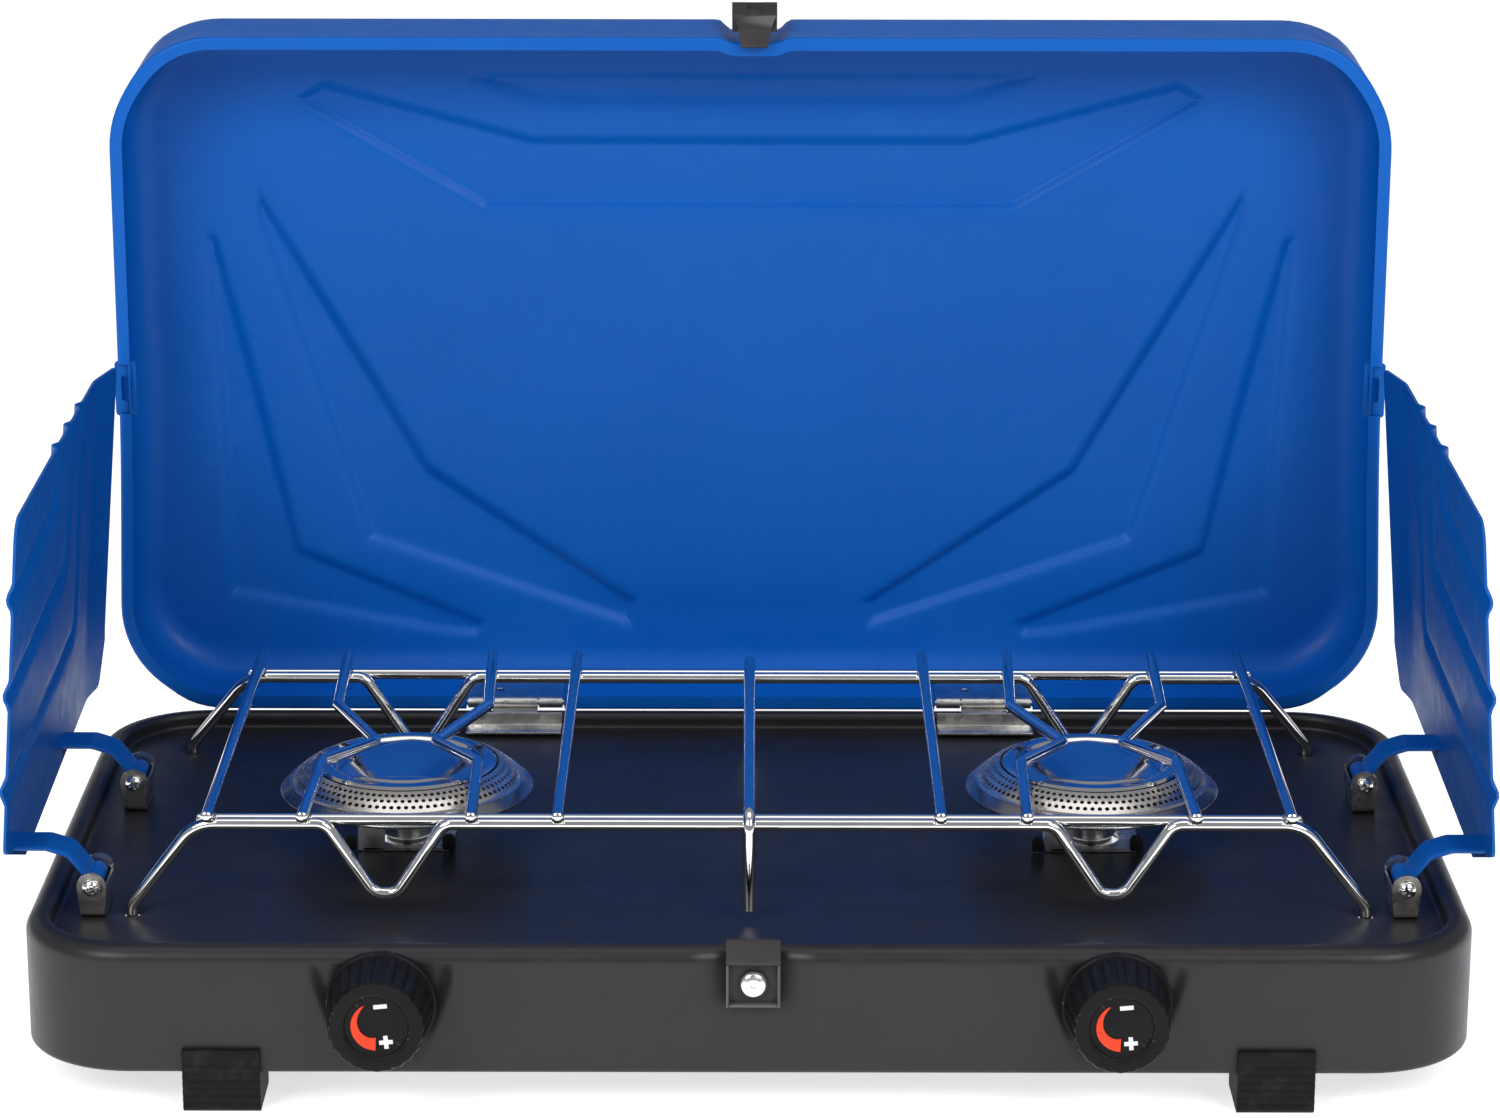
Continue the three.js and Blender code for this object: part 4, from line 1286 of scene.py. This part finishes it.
def hinges():
    for side, sign in SIDES:
        x = sign * HINGE.x
        at = {"x": x, "y": HINGE.y, "z": HINGE.z}
        leaf = moved(lower_leaf(), x)
        make(f"hinge_leaf_base_{side}", leaf, ZINC, thick=SHEET, outward_from=(x, 110, 75), bevel=0.18)
        add(f"hinge_strap_{side}", moved(hinge_strap(), x), ZINC, "base", "zinc_steel", bevel=0.15)
        knuckle = moved(hinge_barrel(-MIDDLE_HALF, MIDDLE_HALF), **at)
        add(f"hinge_knuckle_base_{side}", knuckle, ZINC, "base", "zinc_steel")
        make(f"hinge_pin_{side}", moved(pin(1.1, 19.6), **at), CHROME)
        leaf = mapped(moved(lid_leaf(), x), lid_place)
        hole = mapped(moved(rod(2, 120, 140, "y", 28), x - 7, 0, 75.5), lid_place)
        make(f"hinge_leaf_lid_{side}", leaf, BRIGHT_ZINC, bevel=0.15, cuts=[hole])
        barrels = joined(hinge_barrel(MIDDLE_HALF + 0.4, LEAF_HALF),
                         hinge_barrel(-LEAF_HALF, -MIDDLE_HALF - 0.4))
        add(f"hinge_knuckles_lid_{side}", moved(barrels, **at), ZINC, "lid", "zinc_steel")


# ---------------------------------------------------------------- latch

def latch_bracket(top):
    """A small plate on the lid's wall, top above the pin, with an ear on each side of the pin."""
    base = prism(plate_outline((-5.2, -8), (5.2, 9), 1.5), top - 1.6, top + 1, "z")
    outline = rounded([(-3, top + 0.5), (-3, 2.6, 2.2), (3, 2.6, 2.2), (3, top + 0.5)])
    ears = [prism(outline, *sorted((sign * 4.2, sign * 5.2)), "x") for _, sign in SIDES]
    return joined(base, *ears)


def latch():
    at = {"x": LATCH.x, "y": LATCH.y, "z": LATCH.z}
    bracket = latch_bracket(node_box("latch_bracket")[0].z - LATCH.z)
    make("latch_bracket", moved(bracket, **at), ZINC, bevel=0.18)
    make("latch_pin", moved(pin(1.15, 8.2), **at), CHROME)
    cuts = [moved(shape, **at) for shape in lever_cuts()]
    make("latch_lever", moved(lever_shape(), **at), LATCH_PLASTIC, bevel=0.3, cuts=cuts, sharp=40)


def lever_shape():
    """The lever from the side, pushed across its whole width."""
    smooth = rounded([(3, -2.8, 1.2), (3.4, 3, 2), (1, 8, 1.4), (-6, 9, 2), (-12, 5.4, 3), (-17.6, 0, 3),
                      (-20.4, -6.2, 0.6), (-18.7, -6.6, 0.6), (-16.9, -4.6), (-16.4, -3.2, 0.8), (-12, -2.8)],
                     closed=True, turn=18)
    return prism(flat_points(smooth), -8.7, 8.7, "x")


def lever_cuts():
    """Room for the bracket, the pin hole, the notch in the hub's crown and the hook's narrower waist."""
    room = prism(rectangle((-9, -8), (6, 4.6)), -6, 6, "x")
    notch = prism([(-4.5, 12), (4.5, 12), (2.6, 6.2), (-2.6, 6.2)], -16, 0.6, "y")
    waists = []
    for sign in (-1, 1):
        waist = [(sign * 9.4, 4.5), (sign * 9.4, -9), (sign * 5.2, -9), (sign * 5.4, -2.4), (sign * 7.2, 2.6),
                 (sign * 8.2, 4.5)]
        waists.append(prism(waist, -22, -4.2, "y"))
    return [room, rod(1.35, -12, 12, "x"), notch, *waists]


# ---------------------------------------------------------------- windscreens

SCREEN_TOP = (252.6, 203.0)
SCREEN_LEAN = math.radians(4.4)
SCREEN_RIBS = [
    [(0, 210), (2, 186), (-4, 181), (-112, 174)],
    [(31, 210), (35, 154), (29, 147), (-112, 139)],
    [(61, 210), (66, 118), (60, 111), (-112, 104)],
]
FLANGE = [(97, 210), (97, 100), (88, 92), (-66, 80)]
REAR_FOLD = math.radians(11)
FOOT_FOLD = math.radians(5)
TOE_IN = math.radians(0.45)
TOE_Y = 101
ARM_Z = PIVOT_Z + 14.2


def soft_step(value):
    """0 for a negative value and the value itself for a positive one, with a soft bend between."""
    return (np.sqrt(value * value + 4) + value) / 2


def screen_outline():
    return rounded([
        (-60, 66, 2), (113, 75, 5), (123, 92, 6), (125, 203, 3), (-103, 203, 8), (-103, 81.5, 5),
    ], closed=True, turn=15)


def screen_relief(points):
    """How far each (y, z) point of the panel stands out, and how near it is to a crease."""
    out = np.zeros(len(points))
    nearest = np.full(len(points), 1e9)
    for rib in SCREEN_RIBS:
        away = distance_to(points, rib)
        out = np.maximum(out, 1.9 * (1 - ramp(away, 0.6, 5.4)))
        nearest = np.minimum(nearest, away)
    line = distance_to(points, FLANGE)
    past_rear = points[:, 0] - 99
    past_foot = 80 + (points[:, 0] + 66) * 12 / 154 - points[:, 1]
    fold = soft_step(past_rear) * math.tan(REAR_FOLD) + soft_step(past_foot) * math.tan(FOOT_FOLD)
    return out - fold, np.minimum(nearest, line)


def screen_panel():
    """The ribbed panel of the right windscreen, leaning out towards its foot."""
    outline = flat_points(screen_outline())
    dense = []
    for (y0, z0), (y1, z1) in zip(outline, outline[1:] + outline[:1]):
        steps = max(1, int(math.hypot(y1 - y0, z1 - z0) / 2))
        dense += [(y0 + (y1 - y0) * t / steps, z0 + (z1 - z0) * t / steps) for t in range(steps)]

    def near_creases(points):
        return screen_relief(points)[1] < 7

    flat, faces = filled(dense, (), 7, (1.8, near_creases))
    relief = screen_relief(np.array(flat))[0]
    top_x, top_z = SCREEN_TOP
    c, s = math.cos(SCREEN_LEAN), math.sin(SCREEN_LEAN)
    points = []
    for (y, z), out in zip(flat, relief):
        down = top_z - z
        across = SHEET + out
        x = top_x + down * s + across * c - (TOE_Y - y) * math.tan(TOE_IN)
        points.append(Vector((x, y, top_z - down * c + across * s)))
    return points, faces


def screen_arm(y):
    """A goose-neck strap from the barrel to the panel, and the barrel it is rolled round."""
    top_x, top_z = SCREEN_TOP
    lean = (top_z - PIVOT_Z - 13.5) * math.tan(SCREEN_LEAN)
    panel_x = top_x + lean - (TOE_Y - y) * math.tan(TOE_IN) + 0.4
    pivot = PIVOT.x
    path = rounded([
        (pivot + 0.6, PIVOT_Z + 2.4), (pivot + 7.8, PIVOT_Z + 11.6, 7), (pivot + 16, ARM_Z, 6),
        (panel_x, ARM_Z),
    ], turn=8)
    half = 8.5
    front_edge = [(-half, -0.7), (-half + 0.7, -0.12), (-half + 1.6, 0)]
    edges = front_edge + [(-a, b) for a, b in reversed(front_edge)]
    strap = grid([[Vector((p.x, y + a, p.y + b)) for a, b in edges] for p in path])
    outline = rounded([(1.95, -half), (3.2, -half, 0.5), (3.2, half, 0.5), (1.95, half), (1.95, -half)])
    barrel = moved(turned(flat_points(outline), "y", 40), pivot, y, PIVOT_Z)
    return strap, barrel


def windscreens():
    for side, sign in SIDES:
        body = f"windscreen_{side}"
        panel = to_side(screen_panel(), sign)
        make(body, panel, SHADED_SCREEN_BLUE, thick=SHEET, outward_from=(0, 0, 140), sharp=60, even=False)
        for end, y in zip(("front", "rear"), ARM_YS):
            strap, barrel = (to_side(shape, sign) for shape in screen_arm(y))
            add(f"windscreen_arm_{end}_{side}", strap, SHADED_SCREEN_BLUE, body, "blue_paint", thick=1.4,
                outward_from=(sign * 240, y, 0), sharp=60)
            add(f"windscreen_barrel_{end}_{side}", barrel, SHADED_SCREEN_BLUE, body, "blue_paint")


def clevis_shape():
    """A strip bent up into two round-topped ears, unrolled first and then laid along its bends."""
    half, gap = 5.25, 11.0
    bottom = DECK + 0.4 + SHEET - PIVOT_Z
    path = rounded([
        (-gap, 0.2), (-gap, bottom - SHEET, 1.4), (gap, bottom - SHEET, 1.4), (gap, 0.2),
    ], turn=15)
    lengths = [0.0]
    for a, b in zip(path, path[1:]):
        lengths.append(lengths[-1] + (b - a).length)
    total = lengths[-1]
    arch = [(half * math.cos(a), half * math.sin(a)) for a in (math.pi * k / 16 for k in range(17))]
    outline = [(x, total - 0.2 + z) for x, z in arch] + [(-x, 0.2 - z) for x, z in arch]
    holes = [[(a, s + b) for a, b in ring_of(1.95, 24)] for s in (0.2, total - 0.2)]

    def near_bends(points):
        front, rear = (np.abs(points[:, 1] - s) < 3 for s in (0.2 - bottom, total - 0.2 + bottom))
        return front | rear

    flat, faces = filled(outline, holes, 2.2, (0.7, near_bends))
    points = []
    for x, s in flat:
        if s <= 0:
            points.append(Vector((x, -gap, 0.2 - s)))
            continue
        if s >= total:
            points.append(Vector((x, gap, 0.2 + s - total)))
            continue
        k = next(i for i in range(1, len(lengths)) if lengths[i] >= s)
        t = (s - lengths[k - 1]) / (lengths[k] - lengths[k - 1])
        spot = path[k - 1].lerp(path[k], t)
        points.append(Vector((x, spot.x, spot.y)))
    return points, faces


def phillips_screw():
    """Screw with a domed cross-slotted head in front, its hexagon nut and thread end behind."""
    ear = 11.0
    head = rounded([
        (0, -ear - 2.6), (1.6, -ear - 2.5, 1.5), (3.0, -ear - 1.6, 1.2), (3.3, -ear - 0.3, 0.3),
        (1.6, -ear - 0.3), (1.6, ear + 3.4), (1.2, ear + 4), (0, ear + 4),
    ])
    shank = turned(flat_points(head), "y", 36)
    nut_ring = ring_of(3.5, 6, math.radians(15))
    nut = prism(nut_ring, ear + 0.3, ear + 2.6, "y")
    return shank, nut


def cross_recess():
    long, thin = 1.9, 0.42
    arms = [prism(rectangle((-a, -b), (a, b)), -14.5, -12.3, "y") for a, b in ((long, thin), (thin, long))]
    turn = math.radians(24)
    c, s = math.cos(turn), math.sin(turn)
    return [mapped(arm, lambda x, y, z: (x * c - z * s, y, x * s + z * c)) for arm in arms]


def clevises():
    for side, sign in SIDES:
        for end, y in zip(("front", "rear"), ARM_YS):
            at = {"x": sign * PIVOT.x, "y": y, "z": PIVOT_Z}
            node = f"windscreen_bracket_{end}_{side}"
            make(node, moved(clevis_shape(), **at), GALVANISED, thick=SHEET,
                 outward_from=(at["x"], y, PIVOT_Z + 2), sharp=50)
            shank, nut = phillips_screw()
            slots = [moved(arm, **at) for arm in cross_recess()]
            make(f"windscreen_screw_{end}_{side}", moved(shank, **at), CHROME, cuts=slots, sharp=40)
            add(f"windscreen_nut_{end}_{side}", moved(nut, **at), ZINC, "base", "zinc_steel", bevel=0.3)


# ---------------------------------------------------------------- studio

def studio():
    """A plain white floor, a pale world, and large soft lamps above and in front."""
    mesh = bpy.data.meshes.new("floor")
    reach = 14
    corners = rectangle((-reach, -reach), (reach, reach))
    mesh.from_pydata([(x, y, 0) for x, y in corners], [], [(0, 1, 2, 3)])
    floor = bpy.data.objects.new("floor", mesh)
    bpy.context.scene.collection.objects.link(floor)
    pale = Shader("pale_floor", (0.9, 0.9, 0.9), 0.75, Emission_Color=(1, 1, 1, 1), Emission_Strength=0.68)
    pale.color(pale.mixed(pale.spread(pale.noise(400, 2), 0.3, 0.7), (0.91, 0.91, 0.91), (0.89, 0.89, 0.89)))
    mesh.materials.append(pale.material)
    world = bpy.data.worlds.new("studio")
    world.use_nodes = True
    world.node_tree.nodes["Background"].inputs["Color"].default_value = (0.93, 0.95, 1.0, 1)
    world.node_tree.nodes["Background"].inputs["Strength"].default_value = 0.32
    bpy.context.scene.world = world
    lamps = {
        "overhead": ((0.0, -0.3, 1.7), (0, 0, 0.1), 1.6, 0.8, 5),
        "front_left": ((-1.2, -1.7, 1.5), (0, 0, 0.15), 1.0, 1.0, 23),
        "front_right": ((1.2, -1.7, 1.5), (0, 0, 0.15), 1.0, 1.0, 23),
    }
    for name, (place, target, width, height, power) in lamps.items():
        lamp = bpy.data.lights.new(name, "AREA")
        lamp.shape = "RECTANGLE"
        lamp.size, lamp.size_y = width, height
        lamp.energy = power
        light = bpy.data.objects.new(name, lamp)
        light.location = place
        light.rotation_mode = "QUATERNION"
        light.rotation_quaternion = (Vector(target) - Vector(place)).to_track_quat("-Z", "Y")
        bpy.context.scene.collection.objects.link(light)
    view = bpy.context.scene.view_settings
    view.view_transform = "Standard"


def camera():
    """A long lens at eye height in front of the stove, looking slightly down on it."""
    height, distance = 613.9, 1579.7
    pitch, roll = math.radians(16.388), math.radians(0.105)
    lens = bpy.data.cameras.new("camera")
    lens.sensor_width = 36
    lens.lens = 107.42
    lens.shift_y = 0.0195
    lens.clip_end = 60
    eye = bpy.data.objects.new("camera", lens)
    eye.location = (0.115 * MM, -distance * MM + CASE_Y, height * MM)
    turn = Matrix.Rotation(math.pi / 2 - pitch, 4, "X") @ Matrix.Rotation(roll, 4, "Z")
    eye.rotation_euler = turn.to_euler()
    bpy.context.scene.collection.objects.link(eye)
    bpy.context.scene.camera = eye


base_case()
rubber_feet()
latch_catch()
catch_rivet()
gas_train()
burners()
knobs()
grate()
lid_shell()
lid_clips()
hinges()
latch()
windscreens()
clevises()
studio()
camera()
